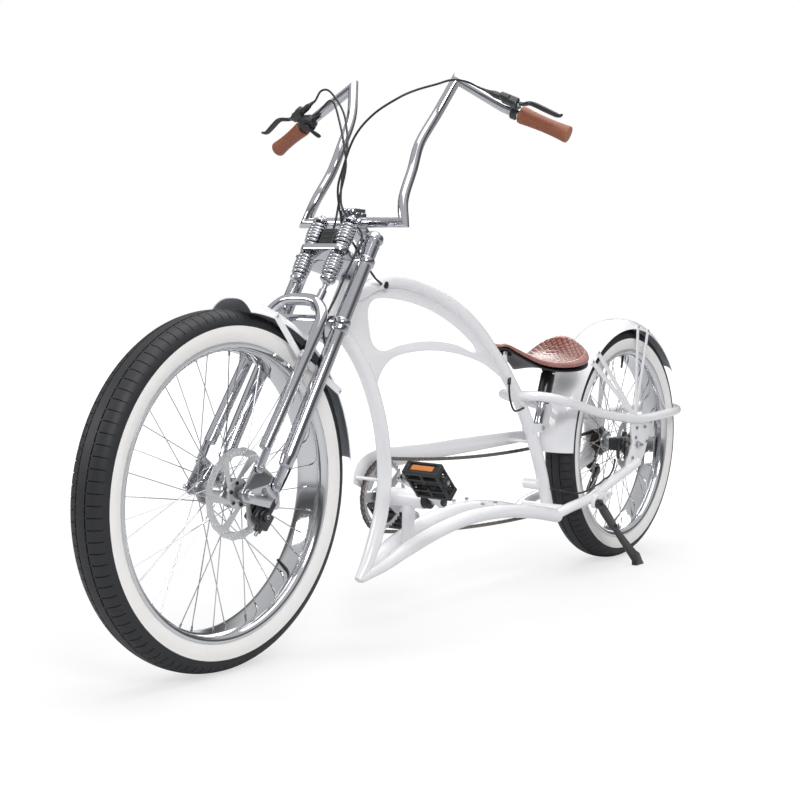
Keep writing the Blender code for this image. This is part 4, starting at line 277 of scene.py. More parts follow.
def tube(bm, points, radius, mat=0, sides=16, radii=None, closed=False, squeeze=1.0, across=None):
    """A round tube along points. radii scale it point by point; squeeze flattens it across a direction."""
    count = len(points)
    rings = []
    normal = None
    for k, p in enumerate(points):
        if closed:
            run, leave = (p - points[k - 1]).normalized(), (points[(k + 1) % count] - p).normalized()
        else:
            run = (p - points[k - 1]).normalized() if k else (points[1] - p).normalized()
            leave = (points[k + 1] - p).normalized() if k + 1 < count else run
        face = (run + leave).normalized()
        if normal is None:
            normal = (across or Vector((0.31, 0.2, 0.93))).copy()
        else:
            normal = last.rotation_difference(run) @ normal
        last = run
        normal = (normal - run * normal.dot(run)).normalized()
        other = run.cross(normal)
        r = radius * (radii[k] if radii else 1.0)
        ring = []
        for j in range(sides):
            arm = (normal * math.cos(2 * math.pi * j / sides) * squeeze + other * math.sin(2 * math.pi * j / sides)) * r
            ring.append(p + arm - run * (arm.dot(face) / run.dot(face)))
        rings.append(ring)
    if closed:
        skew = (rings[0][0] - points[0]).normalized()
        normal = (normal - (points[1] - points[-1]).normalized() * normal.dot((points[1] - points[-1]).normalized())).normalized()
        run = (points[1] - points[-1]).normalized()
        shift = math.atan2(skew.cross(normal).dot(run), skew.dot(normal))
        for k, p in enumerate(points):
            run = (points[(k + 1) % count] - points[k - 1]).normalized()
            spin = Matrix.Rotation(-shift * k / count, 3, run)
            rings[k] = [p + spin @ (q - p) for q in rings[k]]
    skin(bm, rings, mat, loop=closed)


def lathe(bm, profile, origin, axis, mat=0, sides=48, closed=False, start=0.0, end=None):
    """A profile of (along, radius) turned about an axis. mats can be one index or one for each span of the profile."""
    axis = Vector(axis).normalized()
    first = axis.orthogonal().normalized()
    if abs(axis.y) > 0.9:
        first = Vector((0, 0, -1))
    second = axis.cross(first)
    full = end is None
    steps = sides if full else sides + 1
    sweep = 2 * math.pi if full else end - start
    rows = []
    for k in range(steps):
        angle = start + sweep * k / sides
        out = first * math.cos(angle) + second * math.sin(angle)
        rows.append([Vector(origin) + axis * a + out * r for a, r in profile])
    grid_rows = [[bm.verts.new(p) for p in row] for row in rows]
    spans = len(profile) if closed else len(profile) - 1
    made = []
    for k in range(sides):
        low, high = grid_rows[k], grid_rows[(k + 1) % steps]
        for j in range(spans):
            n = (j + 1) % len(profile)
            corners = [low[j], low[n], high[n], high[j]]
            if profile[j][1] < 1e-6:
                corners = [low[j], low[n], high[n]]
            elif profile[n][1] < 1e-6:
                corners = [low[j], low[n], high[j]]
            f = bm.faces.new(corners)
            f.material_index = mat[j] if isinstance(mat, (list, tuple)) else mat
            made.append(f)
    return made


def rod(bm, a, b, radius, mat=0, sides=24, bevel=0.0005):
    """A round bar with eased ends."""
    length = (b - a).length
    bevel = min(bevel, length / 3, radius / 2)
    lathe(bm, [(0, 0), (0, radius - bevel), (bevel, radius), (length - bevel, radius), (length, radius - bevel), (length, 0)],
          a, b - a, mat, sides)


def brick(bm, centre, size, mat=0, x=(1, 0, 0), y=(0, 1, 0), bevel=0.002, steps=3):
    """A block with rounded edges."""
    x, y = Vector(x).normalized(), Vector(y).normalized()
    z = x.cross(y)
    turn = Matrix((x, y, z)).transposed().to_4x4()
    made = bmesh.ops.create_cube(bm, size=1.0, matrix=Matrix.Translation(centre) @ turn @ Matrix.Diagonal((*size, 1.0)))["verts"]
    edges = list({e for v in made for e in v.link_edges})
    for f in {f for v in made for f in v.link_faces}:
        f.material_index = mat
    if bevel:
        bmesh.ops.bevel(bm, geom=edges, offset=bevel, segments=steps, affect="EDGES", profile=0.5, material=-1)


def ring_points(x, y, radius, count, start=0.0):
    return [(x + radius * math.cos(start + 2 * math.pi * k / count), y + radius * math.sin(start + 2 * math.pi * k / count))
            for k in range(count)]


def slab(bm, outline, low, high, mat=0, holes=(), bevel=0.0006, place=None):
    """A flat plate with eased edges and holes, drawn in (forward, up) and standing across the bicycle by default."""
    shape = bpy.data.curves.new("slab", "CURVE")
    shape.dimensions = "2D"
    shape.fill_mode = "BOTH"
    half = (high - low) / 2
    bevel = min(bevel, half * 0.9)
    shape.extrude = half - bevel
    shape.bevel_depth = bevel
    shape.bevel_resolution = 1
    shape.offset = -bevel
    for loop in [outline, *holes]:
        spline = shape.splines.new("POLY")
        spline.points.add(len(loop) - 1)
        for point, (u, v) in zip(spline.points, loop):
            point.co = (u, v, 0.0, 1.0)
        spline.use_cyclic_u = True
    holder = bpy.data.objects.new("slab", shape)
    made = bpy.data.meshes.new_from_object(holder)
    if place is None:
        place = Matrix(((1, 0, 0, AXLE_X), (0, 0, -1, 0), (0, 1, 0, 0), (0, 0, 0, 1))) @ Matrix.Translation((0, 0, -(low + high) / 2))
    else:
        place = place @ Matrix.Translation((0, 0, (low + high) / 2))
    made.transform(place)
    before = len(bm.faces)
    bm.from_mesh(made)
    bm.faces.ensure_lookup_table()
    for f in bm.faces[before:]:
        f.material_index = mat
    bpy.data.objects.remove(holder)
    bpy.data.curves.remove(shape)
    bpy.data.meshes.remove(made)


def stadium(circles, steps=10):
    """The outline round two or more circles (x, y, radius) taken in order: their convex hull."""
    points = [p for x, y, r in circles for p in ring_points(x, y, r, steps * 4)]
    points = sorted(set(points))
    hull = []
    for order in (points, list(reversed(points))):
        chain = []
        for p in order:
            while len(chain) > 1 and ((chain[-1][0] - chain[-2][0]) * (p[1] - chain[-2][1])
                                      - (chain[-1][1] - chain[-2][1]) * (p[0] - chain[-2][0])) <= 0:
                chain.pop()
            chain.append(p)
        hull += chain[:-1]
    return hull


def put(name, bm, body, mats, nodes=(), angle=34.0, weld=True):
    """Ends a piece: its mesh, smooth shading up to an angle, its body, the CAD nodes that it stands for."""
    if weld:
        bmesh.ops.remove_doubles(bm, verts=bm.verts, dist=0.000002)
    bmesh.ops.recalc_face_normals(bm, faces=bm.faces)
    data = bpy.data.meshes.new(name)
    bm.to_mesh(data)
    bm.free()
    for m in mats:
        data.materials.append(m)
    data.polygons.foreach_set("use_smooth", [True] * len(data.polygons))
    data.set_sharp_from_angle(angle=math.radians(angle))
    made = bpy.data.objects.new(name, data)
    bpy.context.scene.collection.objects.link(made)
    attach(made, body)
    if nodes:
        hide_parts(*nodes)
    return made


def bolt_head(bm, place, axis, radius=0.0045, height=0.0045, mat=0, socket=True):
    """A round cap screw with a hex socket, standing along axis."""
    axis = Vector(axis).normalized()
    profile = [(0, 0), (0, radius), (height - 0.0005, radius), (height, radius - 0.0005), (height, radius * 0.55)]
    lathe(bm, profile, place, axis, mat, 20)
    lathe(bm, [(height, radius * 0.55), (height - 0.0022, radius * 0.5), (height - 0.0022, 0)], place, axis, mat, 6)


def nut(bm, place, axis, radius, height, mat=0):
    """A hex nut with eased corners."""
    lathe(bm, [(0, 0), (0, radius), (height * 0.75, radius), (height, radius * 0.82), (height, 0)], place, axis, mat, 6)


# Tyres
# Tread blocks with two dashed grooves and cross sipes every 22 mm, cut 3 mm deep; a white band on each side wall.
def tyre(name, body, centre, outer, rim, node):
    bm = bmesh.new()
    white = outer - 0.0304
    section = [(0.0340, rim - 0.0010), (0.0362, rim + 0.0010), (0.0385, rim + 0.0060), (0.0412, rim + 0.0130),
               (0.0432, rim + 0.0210), (0.0438, rim + 0.0270), (0.0434, white), (0.0436, white + 0.0014),
               (0.0425, outer - 0.0235), (0.0400, outer - 0.0170), (0.0365, outer - 0.0118), (0.0322, outer - 0.0078),
               (0.0272, outer - 0.0049), (0.0215, outer - 0.0029), (0.0155, outer - 0.0014), (0.0135, outer - 0.0011),
               (0.0105, outer - 0.0007), (0.0050, outer - 0.0002)]
    profile = [(-y, r) for y, r in section] + [(y, r) for y, r in reversed(section)]
    pitches = round(2 * math.pi * outer / 0.022)
    stations = [(k + f) / pitches for k in range(pitches) for f in (0.0, 0.085, 0.50, 0.585)]
    grid = []
    for t in stations:
        c, s = math.cos(2 * math.pi * t), math.sin(2 * math.pi * t)
        grid.append([bm.verts.new((centre.x + r * c, y, centre.z + r * s)) for y, r in profile])
    cut = []
    columns = len(profile)
    for k in range(len(grid)):
        low, high = grid[k], grid[(k + 1) % len(grid)]
        for j in range(columns - 1):
            f = bm.faces.new((low[j], low[j + 1], high[j + 1], high[j]))
            side_j = min(j, columns - 2 - j)
            f.material_index = 1 if side_j < 6 else 0
            phase = k % 4
            if side_j in (9, 10, 11, 12, 13) and phase == (0 if j < columns / 2 else 2):
                cut.append(f)
            elif side_j == 15 and phase != 2:
                cut.append(f)
    inner = [(0.0300, rim + 0.004), (0.0, rim + 0.006)]
    made = bmesh.ops.extrude_face_region(bm, geom=cut)
    for v in (v for v in made["geom"] if isinstance(v, bmesh.types.BMVert)):
        out = Vector((v.co.x - centre.x, 0, v.co.z - centre.z)).normalized()
        v.co -= out * 0.0030
    bmesh.ops.delete(bm, geom=cut, context="FACES_ONLY")
    put(name, bm, body, [RUBBER, WALL], [node], 30)


tyre("front_tyre_tread", "front_wheel", at(0, 0, 0.352), 0.352, 0.2865, "front_tyre")
tyre("rear_tyre_tread", "rear_wheel", at(-1.619, 0, 0.3253), 0.3253, 0.2610, "rear_tyre")


# Wheels
# Wide polished rims with nipples, 36 crossed spokes, a turned hub and a valve.
def wheel(name, body, centre, rim, valve, node, spin, right_flange=-0.0352):
    bm = bmesh.new()
    w = 0.0390
    section = [(-w, rim - 0.0005), (-w - 0.0002, rim + 0.0025), (-w + 0.0012, rim + 0.0032), (-w + 0.0026, rim + 0.0016),
               (-w + 0.0034, rim - 0.0040), (-0.030, rim - 0.0072), (-0.012, rim - 0.0090)]
    outer_side = section + [(-a, r) for a, r in reversed(section)]
    inner_side = [(w - 0.0004, rim - 0.0035), (w - 0.0035, rim - 0.0085), (0.0290, rim - 0.0125), (0.0180, rim - 0.0146),
                  (0.0060, rim - 0.0150)]
    inner_side += [(-a, r) for a, r in reversed(inner_side)]
    lathe(bm, outer_side + inner_side, centre, (0, 1, 0), 0, 160, closed=True)
    inset = right_flange + 0.0352
    hub = [(-0.0470 + inset, 0.0055), (-0.0470 + inset, 0.0120), (-0.0440 + inset, 0.0135), (-0.0370 + inset, 0.0150),
           (-0.0355 + inset, 0.0270), (-0.0348 + inset, 0.0290), (-0.0316 + inset, 0.0290), (-0.0308 + inset, 0.0270),
           (-0.0296 + inset, 0.0180), (-0.0200 + inset, 0.0155), (0.0200, 0.0155), (0.0296, 0.0180),
           (0.0308, 0.0270), (0.0316, 0.0290), (0.0348, 0.0290), (0.0355, 0.0270), (0.0370, 0.0220), (0.0490, 0.0220),
           (0.0496, 0.0215), (0.0530, 0.0150), (0.0530, 0.0055)]
    lathe(bm, hub, centre, (0, 1, 0), 1, 48)
    for sign in (-1.0, 1.0):
        for k in range(18):
            angle = math.radians(20 * k + (10 if sign > 0 else 0) + spin)
            lead = math.radians(60 if k % 2 else -60)
            hole = 0.0252
            face_y = sign * (0.0352 if k % 4 < 2 else 0.0312) + (inset if sign < 0 else 0.0)
            start = centre + Vector((hole * math.cos(angle), face_y, hole * math.sin(angle)))
            far = angle + lead
            end = centre + Vector(((rim - 0.0150) * math.cos(far), sign * 0.0060, (rim - 0.0150) * math.sin(far)))
            run = (end - start).normalized()
            tube(bm, [start, start.lerp(end, 0.5), end], 0.00105, 2, 6)
            rod(bm, end - run * 0.0090, end + run * 0.0040, 0.0021, 2, 8, 0.0004)
            rod(bm, start + Vector((0, sign * 0.0012, 0)), start - Vector((0, sign * 0.0050, 0)), 0.0017, 2, 8, 0.0003)
    out = Vector((math.cos(valve), 0, math.sin(valve)))
    foot = centre + out * (rim - 0.013)
    tube(bm, [foot, foot - out * 0.010, foot - out * 0.022, foot - out * 0.024], 0.0036, 3, 14, [1.15, 1.0, 0.95, 0.8])
    rod(bm, foot - out * 0.024, foot - out * 0.036, 0.0031, 3, 12, 0.0010)
    put(name, bm, body, [POLISHED, ALLOY, SPOKE, PLASTIC], [node], 34)


wheel("front_wheel_spoked", "front_wheel", at(0, 0, 0.352), 0.2865, math.radians(222.0), "front_wheel", 4.0)
wheel("rear_wheel_spoked", "rear_wheel", at(-1.619, 0, 0.3253), 0.2610, math.radians(100.0), "rear_wheel", 11.0, -0.0240)


# Brake discs
# Ground steel rings with rows of slanted holes, on six curved arms from a dark steel carrier with six screws.
DISC = shade("ground_steel", "c9cacc", "d6d7d9", (0.30, 0.42), 0.55, 30, bump=0.02, grain=0.5)


def disc(name, body, centre, radius, node):
    bm = bmesh.new()
    place = Matrix(((1, 0, 0, centre.x), (0, 0, 1, 0.050), (0, 1, 0, centre.z), (0, 0, 0, 1)))
    holes = []
    count = 18
    for k in range(count):
        base = 2 * math.pi * k / count
        for j, (shift, off) in enumerate(((0.060, 0.0040), (0.0, 0.0085), (-0.060, 0.0130))):
            r = radius - off
            holes.append(ring_points(r * math.cos(base + shift * 1.4), r * math.sin(base + shift * 1.4), 0.0018, 10))
    inner = radius - 0.0170
    for k in range(6):
        a0 = 2 * math.pi * k / 6
        opening = []
        for t in range(9):
            a = a0 + 0.13 + (0.92 - 0.13) * t / 8
            opening.append((inner * math.cos(a), inner * math.sin(a)))
        for t in range(5):
            a = a0 + 0.92 - 0.55 - (0.92 - 0.25) * t / 4
            opening.append((0.030 * math.cos(a), 0.030 * math.sin(a)))
        holes.append(opening)
    holes.append(ring_points(0, 0, 0.0175, 40))
    rim_wave = []
    for k in range(144):
        a = 2 * math.pi * k / 144
        r = radius - 0.0009 + 0.0009 * math.cos(18 * a)
        rim_wave.append((r * math.cos(a), r * math.sin(a)))
    slab(bm, rim_wave, 0.0, 0.0020, 0, holes, 0.0002, place)
    for k in range(6):
        a = 2 * math.pi * (k + 0.5) / 6 - 0.28
        spot = centre + Vector((0.0225 * math.cos(a), 0.0520, 0.0225 * math.sin(a)))
        bolt_head(bm, spot, (0, 1, 0), 0.0040, 0.0026, 1)
    lathe(bm, [(0.0495, 0.0168), (0.0520, 0.0168), (0.0520, 0.0140), (0.0495, 0.0140)], centre, (0, 1, 0), 1, 40, closed=True)
    put(name, bm, body, [DISC, DARK], [node], 30)


disc("front_disc", "front_wheel", at(0, 0, 0.352), 0.0900, "front_rotor")
disc("rear_disc", "rear_wheel", at(-1.619, 0, 0.3253), 0.0800, "rear_rotor")

# Frame
# Gloss white tubes on the CAD's centre lines, the flat gusset with its window, dropouts, shells, cups, ears and studs.
ARCH = [(-0.380, 0.716), (-0.432, 0.737), (-0.500, 0.760), (-0.581, 0.765), (-0.699, 0.742), (-0.825, 0.695),
        (-0.905, 0.649), (-0.957, 0.609), (-1.008, 0.568), (-1.052, 0.525), (-1.095, 0.480), (-1.135, 0.429),
        (-1.180, 0.361), (-1.218, 0.289), (-1.245, 0.225), (-1.262, 0.180)]
DOWN = [(-0.345, 0.672), (-0.373, 0.653), (-0.405, 0.628), (-0.447, 0.582), (-0.484, 0.525), (-0.514, 0.457),
        (-0.531, 0.389), (-0.537, 0.321), (-0.528, 0.255), (-0.505, 0.191), (-0.477, 0.140), (-0.450, 0.108)]
RAIL = [(-0.4535, 0.003, 0.1095), (-0.520, 0.018, 0.134), (-0.602, 0.026, 0.163), (-0.720, 0.033, 0.192),
        (-0.845, 0.039, 0.208), (-0.979, 0.045, 0.206), (-1.110, 0.051, 0.189), (-1.215, 0.057, 0.168)]
STAY = [(-1.205, 0.058, 0.172), (-1.260, 0.070, 0.187), (-1.356, 0.075, 0.201), (-1.466, 0.075, 0.232),
        (-1.582, 0.075, 0.262), (-1.622, 0.075, 0.275)]
HOOP = [(-1.105, 0.484), (-1.180, 0.472), (-1.286, 0.451), (-1.396, 0.426), (-1.512, 0.408),
        (-1.633, 0.396), (-1.758, 0.399), (-1.860, 0.402)]


def between(values, count):
    """Values spread evenly over a longer list of points."""
    made = []
    for k in range(count):
        t = k * (len(values) - 1) / (count - 1)
        low = min(int(t), len(values) - 2)
        made.append(values[low] + (values[low + 1] - values[low]) * (t - low))
    return made


bm = bmesh.new()
tube(bm, smooth([at(x, 0, z) for x, z in ARCH], 7), 0.0160, 0, 28)
line = smooth([at(x, 0, z) for x, z in DOWN], 7)
tube(bm, line, 0.0165, 0, 28, between([1.0] * 10 + [0.86, 0.62], len(line)))
for sign in (1, -1):
    line = smooth([at(x, y * sign, z) for x, y, z in RAIL], 8)
    tube(bm, line, 0.0170, 0, 24, between([0.50, 0.80] + [1.0] * 6, len(line)))
    tube(bm, smooth([at(x, y * sign, z) for x, y, z in STAY], 8), 0.0135, 0, 24)
back_x = -1.619 - 0.3253 - 0.0400
left = [at(-1.117, 0.054, 0.483)] + [at(x, 0.075, z) for x, z in HOOP[1:-1]]
left += [at(-1.840, 0.0700, 0.402), at(-1.905, 0.0560, 0.403), at(-1.957, 0.0300, 0.404)]
loop = [at(-1.091, 0, 0.484)] + left + [at(back_x, 0, 0.404)] + [Vector((p.x, -p.y, p.z)) for p in reversed(left)]
tube(bm, smooth(loop, 7, True), 0.0125, 0, 22, closed=True)
rod(bm, at(-1.235, -0.060, 0.178), at(-1.235, 0.060, 0.178), 0.0168, 0, 28, 0.004)
rod(bm, at(-1.216, -0.046, 0.245), at(-1.216, 0, 0.245), 0.0143, 0, 26, 0.003)
rod(bm, at(-0.632, -0.036, 0.172), at(-0.632, 0.036, 0.172), 0.0118, 0, 24)
rod(bm, at(-0.632, 0, 0.176), at(-0.632, 0, 0.262), 0.0148, 0, 26)
head = fork(0, 0, 0)
lathe(bm, [(-0.1380, 0.0127), (-0.1380, 0.0195), (-0.1340, 0.0204), (-0.1290, 0.0190), (-0.0270, 0.0190), (-0.0220, 0.0204),
           (-0.0180, 0.0195), (-0.0180, 0.0127)], head, FORK_UP, 0, 40)
half_gusset = [(-0.395, 0.722), (-0.432, 0.737), (-0.500, 0.760), (-0.581, 0.765), (-0.699, 0.742), (-0.825, 0.695),
               (-0.905, 0.649), (-0.957, 0.609), (-1.008, 0.568), (-1.048, 0.529)]
band_low = [(-1.010, 0.535), (-0.950, 0.563), (-0.895, 0.580), (-0.808, 0.598), (-0.704, 0.607), (-0.620, 0.604),
            (-0.570, 0.597), (-0.538, 0.584), (-0.514, 0.562), (-0.500, 0.535), (-0.490, 0.510)]
front_edge = [(-0.484, 0.525), (-0.447, 0.582), (-0.405, 0.628), (-0.373, 0.653), (-0.350, 0.680)]
window = [(-0.462, 0.690), (-0.469, 0.715), (-0.500, 0.727), (-0.580, 0.724), (-0.660, 0.711), (-0.730, 0.692),
          (-0.790, 0.669), (-0.850, 0.640), (-0.893, 0.610), (-0.882, 0.598), (-0.808, 0.618), (-0.704, 0.629),
          (-0.600, 0.625), (-0.525, 0.612), (-0.495, 0.618), (-0.474, 0.640)]


def flat_smooth(points, steps, closed=True):
    return [(p.x, p.y) for p in smooth([Vector((x, y, 0)) for x, y in points], steps, closed)]


outline = flat_smooth(half_gusset, 5, False) + flat_smooth(band_low, 5, False) + flat_smooth(front_edge, 5, False)
opening = flat_smooth(window, 6)
slab(bm, outline, -0.0030, 0.0030, 0, [opening], 0.0010)
for sign in (1, -1):
    plate = [(-1.560, 0.262), (-1.630, 0.262), (-1.668, 0.300), (-1.690, 0.350), (-1.694, 0.398), (-1.640, 0.400),
             (-1.585, 0.404), (-1.583, 0.360), (-1.590, 0.330), (-1.575, 0.300)]
    low, high = sorted((sign * 0.0700, sign * 0.0760))
    slab(bm, flat_smooth(plate, 4), low, high, 0, [ring_points(-1.619, 0.3253, 0.0052, 24)], 0.0009)
    for x, z in ((-1.611, 0.372), (-1.673, 0.330), (-1.590, 0.290), (-1.660, 0.372), (-1.606, 0.345)):
        bolt_head(bm, at(x, sign * 0.0758, z), (0, sign, 0), 0.0048, 0.0040, 1)
    low, high = sorted((sign * 0.0105, sign * 0.0135))
    slab(bm, stadium([(-1.012, 0.572, 0.010), (-1.012, 0.594, 0.0060)]), low, high, 0, (), 0.0006)
    low, high = sorted((sign * 0.0125, sign * 0.0165))
    slab(bm, stadium([(-1.160, 0.397, 0.012), (-1.198, 0.395, 0.0100)]), low, high, 0, (), 0.0006)
    nut(bm, at(-1.012, sign * 0.0135, 0.594), (0, sign, 0), 0.0052, 0.0028, 2)
    nut(bm, at(-1.198, sign * 0.0165, 0.395), (0, sign, 0), 0.0068, 0.0036, 2)
    for x, z in ((-0.880, 0.2080), (-0.937, 0.2065)):
        y = sign * 0.0420
        rod(bm, at(x, y, z + 0.0130), at(x, y, z + 0.0240), 0.0036, 0, 16)
        rod(bm, at(x, y, z + 0.0240), at(x, y, z + 0.0290), 0.0046, 1, 16)
rod(bm, at(-1.012, -0.014, 0.594), at(-1.012, 0.014, 0.594), 0.0029, 2, 16)
rod(bm, at(-1.198, -0.017, 0.395), at(-1.198, 0.017, 0.395), 0.0038, 2, 18)
for x, z in ((-0.5385, 0.320), (-1.183, 0.358)):
    rod(bm, at(x, 0, z), at(x, -0.0812, z), 0.0040, 0, 18)
lathe(bm, [(-0.0630, 0.0090), (-0.0630, 0.0170), (-0.0620, 0.0185), (-0.0460, 0.0190), (-0.0450, 0.0210), (0.0450, 0.0210),
           (0.0460, 0.0190), (0.0620, 0.0185), (0.0630, 0.0170), (0.0630, 0.0090)], at(-0.632, 0, 0.271), (0, 1, 0),
      [3, 3, 3, 0, 0, 0, 3, 3, 3], 44)
lathe(bm, [(-0.0262, 0.0127), (-0.0262, 0.0186), (-0.0180, 0.0208), (-0.0140, 0.0204), (-0.0127, 0.0192), (-0.0127, 0.0127)],
      head, FORK_UP, 2, 40)
lathe(bm, [(-0.1433, 0.0127), (-0.1433, 0.0196), (-0.1415, 0.0210), (-0.1375, 0.0213), (-0.1300, 0.0190), (-0.1300, 0.0127)],
      head, FORK_UP, 2, 40)
for x, z, r in ((-0.509, 0.7555, 0.0062),):
    centre = at(x, 0.0152, z)
    lathe(bm, [(-0.001, r * 1.30), (0.0016, r * 1.25), (0.0022, r * 1.0), (0.0010, 0.0)], centre, (0.0, 1, 0.15), 3, 28)
rod(bm, at(-1.037, 0.0110, 0.531), at(-1.028, 0.0160, 0.516), 0.0044, 3, 16)
tube(bm, smooth([at(-1.037, 0.0110, 0.531), at(-1.026, 0.0180, 0.500), at(-1.028, 0.0220, 0.472), at(-1.052, 0.0200, 0.448),
                 at(-1.106, 0.0130, 0.452)], 6), 0.0026, 3, 10)
frame_piece = put("frame_painted", bm, "frame", [WHITE, STEEL, CHROME, HOSE], ["frame"], 36)


# Fenders
# Rolled sheet with a crowned section, a beaded edge all round, pale outside and blue-grey inside, on flat bar stays.
def fender(name, body, axle, radius, start, stop, node, stays, pads):
    bm = bmesh.new()
    half = 0.0520
    steps = round(abs(stop - start) / 1.5)
    columns = 22

    def point(angle, t, inward):
        reach = radius + 0.0085 - 0.0260 * abs(t) ** 2.8 - inward
        return Vector((axle.x + reach * math.cos(angle), half * t, axle.z + reach * math.sin(angle)))

    for inward, mat in ((0.0, 0), (0.0014, 1)):
        rows = []
        for k in range(steps + 1):
            angle = math.radians(start + (stop - start) * k / steps)
            rows.append([bm.verts.new(point(angle, -1 + 2 * j / columns, inward)) for j in range(columns + 1)])
        for low, high in zip(rows, rows[1:]):
            for j in range(columns):
                bm.faces.new((low[j], low[j + 1], high[j + 1], high[j])).material_index = mat
    edge = []
    for k in range(steps + 1):
        edge.append(point(math.radians(start + (stop - start) * k / steps), 1.0, 0.0006))
    for k in range(1, 20):
        edge.append(point(math.radians(stop), 1 - 2 * k / 20, 0.0006))
    for k in range(steps + 1):
        edge.append(point(math.radians(stop + (start - stop) * k / steps), -1.0, 0.0006))
    for k in range(1, 20):
        edge.append(point(math.radians(start), -1 + 2 * k / 20, 0.0006))
    tube(bm, edge, 0.0015, 0, 8, closed=True)
    for sign in (1, -1):
        for foot, top in stays:
            a = math.radians(top)
            reach = radius - 0.0120
            end = Vector((axle.x + reach * math.cos(a), sign * (half - 0.0002), axle.z + reach * math.sin(a)))
            begin = at(foot[0], sign * foot[2], foot[1])
            run = (end - begin).normalized()
            tube(bm, [begin, begin.lerp(end, 0.5), end + run * 0.004], 0.0080, 0, 12, squeeze=0.25, across=Vector((0, 1, 0)))
            bolt_head(bm, end + Vector((0, sign * 0.0012, 0)), (0, sign, 0), 0.0036, 0.0024, 2)
        for x, z, low, high in pads:
            rod(bm, at(x, sign * low, z), at(x, sign * high, z), 0.0062, 2, 24, 0.0010)
    return put(name, bm, body, [WHITE, INSIDE, CHROME], [node], 40)


fender("front_fender_sheet", "springer", at(0, 0, 0.352), 0.367, 95.0, 174.0, "front_fender",
       (((-0.1685, 0.6120, 0.0570), 107.0), ((-0.1685, 0.6120, 0.0570), 149.0)), ((-0.1685, 0.6120, 0.0530, 0.0617),))
fender("rear_fender_sheet", "frame", at(-1.619, 0, 0.3253), 0.3403, 0.0, 143.0, "rear_fender",
       (((-1.636, 0.398, 0.0590), 46.0), ((-1.636, 0.398, 0.0590), 52.5), ((-1.636, 0.398, 0.0590), 95.0),
        ((-1.636, 0.398, 0.0590), 106.0)), ((-1.636, 0.398, 0.0555, 0.0622),))

# Crowns and legs
# Chromed double fork: clamp plates with pinch bolts, straight main legs with domed caps and collars, pivot lugs and bolts.
FORK_PLACE = Matrix.Translation(fork(0, 0, 0)) @ Matrix((FORK_AHEAD, Vector((0, 1, 0)), FORK_UP)).transposed().to_4x4()
FORK_SIDE = Matrix.Translation(fork(0, 0, 0)) @ Matrix((FORK_AHEAD, FORK_UP, Vector((0, -1, 0)))).transposed().to_4x4()


def clamp_outline(scale=1.0):
    centre_half = 0.0220
    return stadium([(0.0, 0.0, centre_half), (0.063, 0.080, 0.0195), (0.063, -0.080, 0.0195)], 12)


bm = bmesh.new()
slab(bm, clamp_outline(), -0.0120, 0.0040, 0, (), 0.0032, FORK_PLACE)
reach = stadium([(0.043, 0.056, 0.010), (0.043, -0.056, 0.010), (0.106, 0.040, 0.0182), (0.106, -0.040, 0.0182)], 12)
slab(bm, reach, -0.0108, 0.0029, 0, (), 0.0022, FORK_PLACE)
for sign in (1, -1):
    lathe(bm, [(0.0029, 0.0052), (0.0029, 0.0120), (0.0035, 0.0128), (0.0038, 0.0120), (0.0036, 0.0052)],
          fork(0, 0.106, sign * 0.040), FORK_UP, 1, 36)
    bolt_head(bm, fork(-0.004, 0.0815, sign * 0.0890), FORK_AHEAD, 0.0040, 0.0030, 1)
put("upper_crown_plate", bm, "steering", [CHROME, STEEL], ["upper_crown"], 34)

bm = bmesh.new()
slab(bm, clamp_outline(), -0.1590, -0.1440, 0, (), 0.0032, FORK_PLACE)
lathe(bm, [(-0.1630, 0), (-0.1630, 0.0115), (-0.1618, 0.0126), (0.0615, 0.0126), (0.0620, 0.0120), (0.0620, 0)],
      fork(0, 0, 0), FORK_UP, 0, 36)
lathe(bm, [(-0.1440, 0.0127), (-0.1440, 0.0185), (-0.1434, 0.0188), (-0.1434, 0.0127)], fork(0, 0, 0), FORK_UP, 1, 40)
lathe(bm, [(0.0042, 0.0127), (0.0042, 0.0170), (0.0056, 0.0182), (0.0120, 0.0182), (0.0140, 0.0165), (0.0140, 0.0127)],
      fork(0, 0, 0), FORK_UP, 0, 8)
for sign in (1, -1):
    bolt_head(bm, fork(-0.1515, 0.0815, sign * 0.0890), FORK_AHEAD, 0.0040, 0.0030, 1)
put("steerer_lower_crown", bm, "steering", [CHROME, STEEL], ["steerer"], 34)

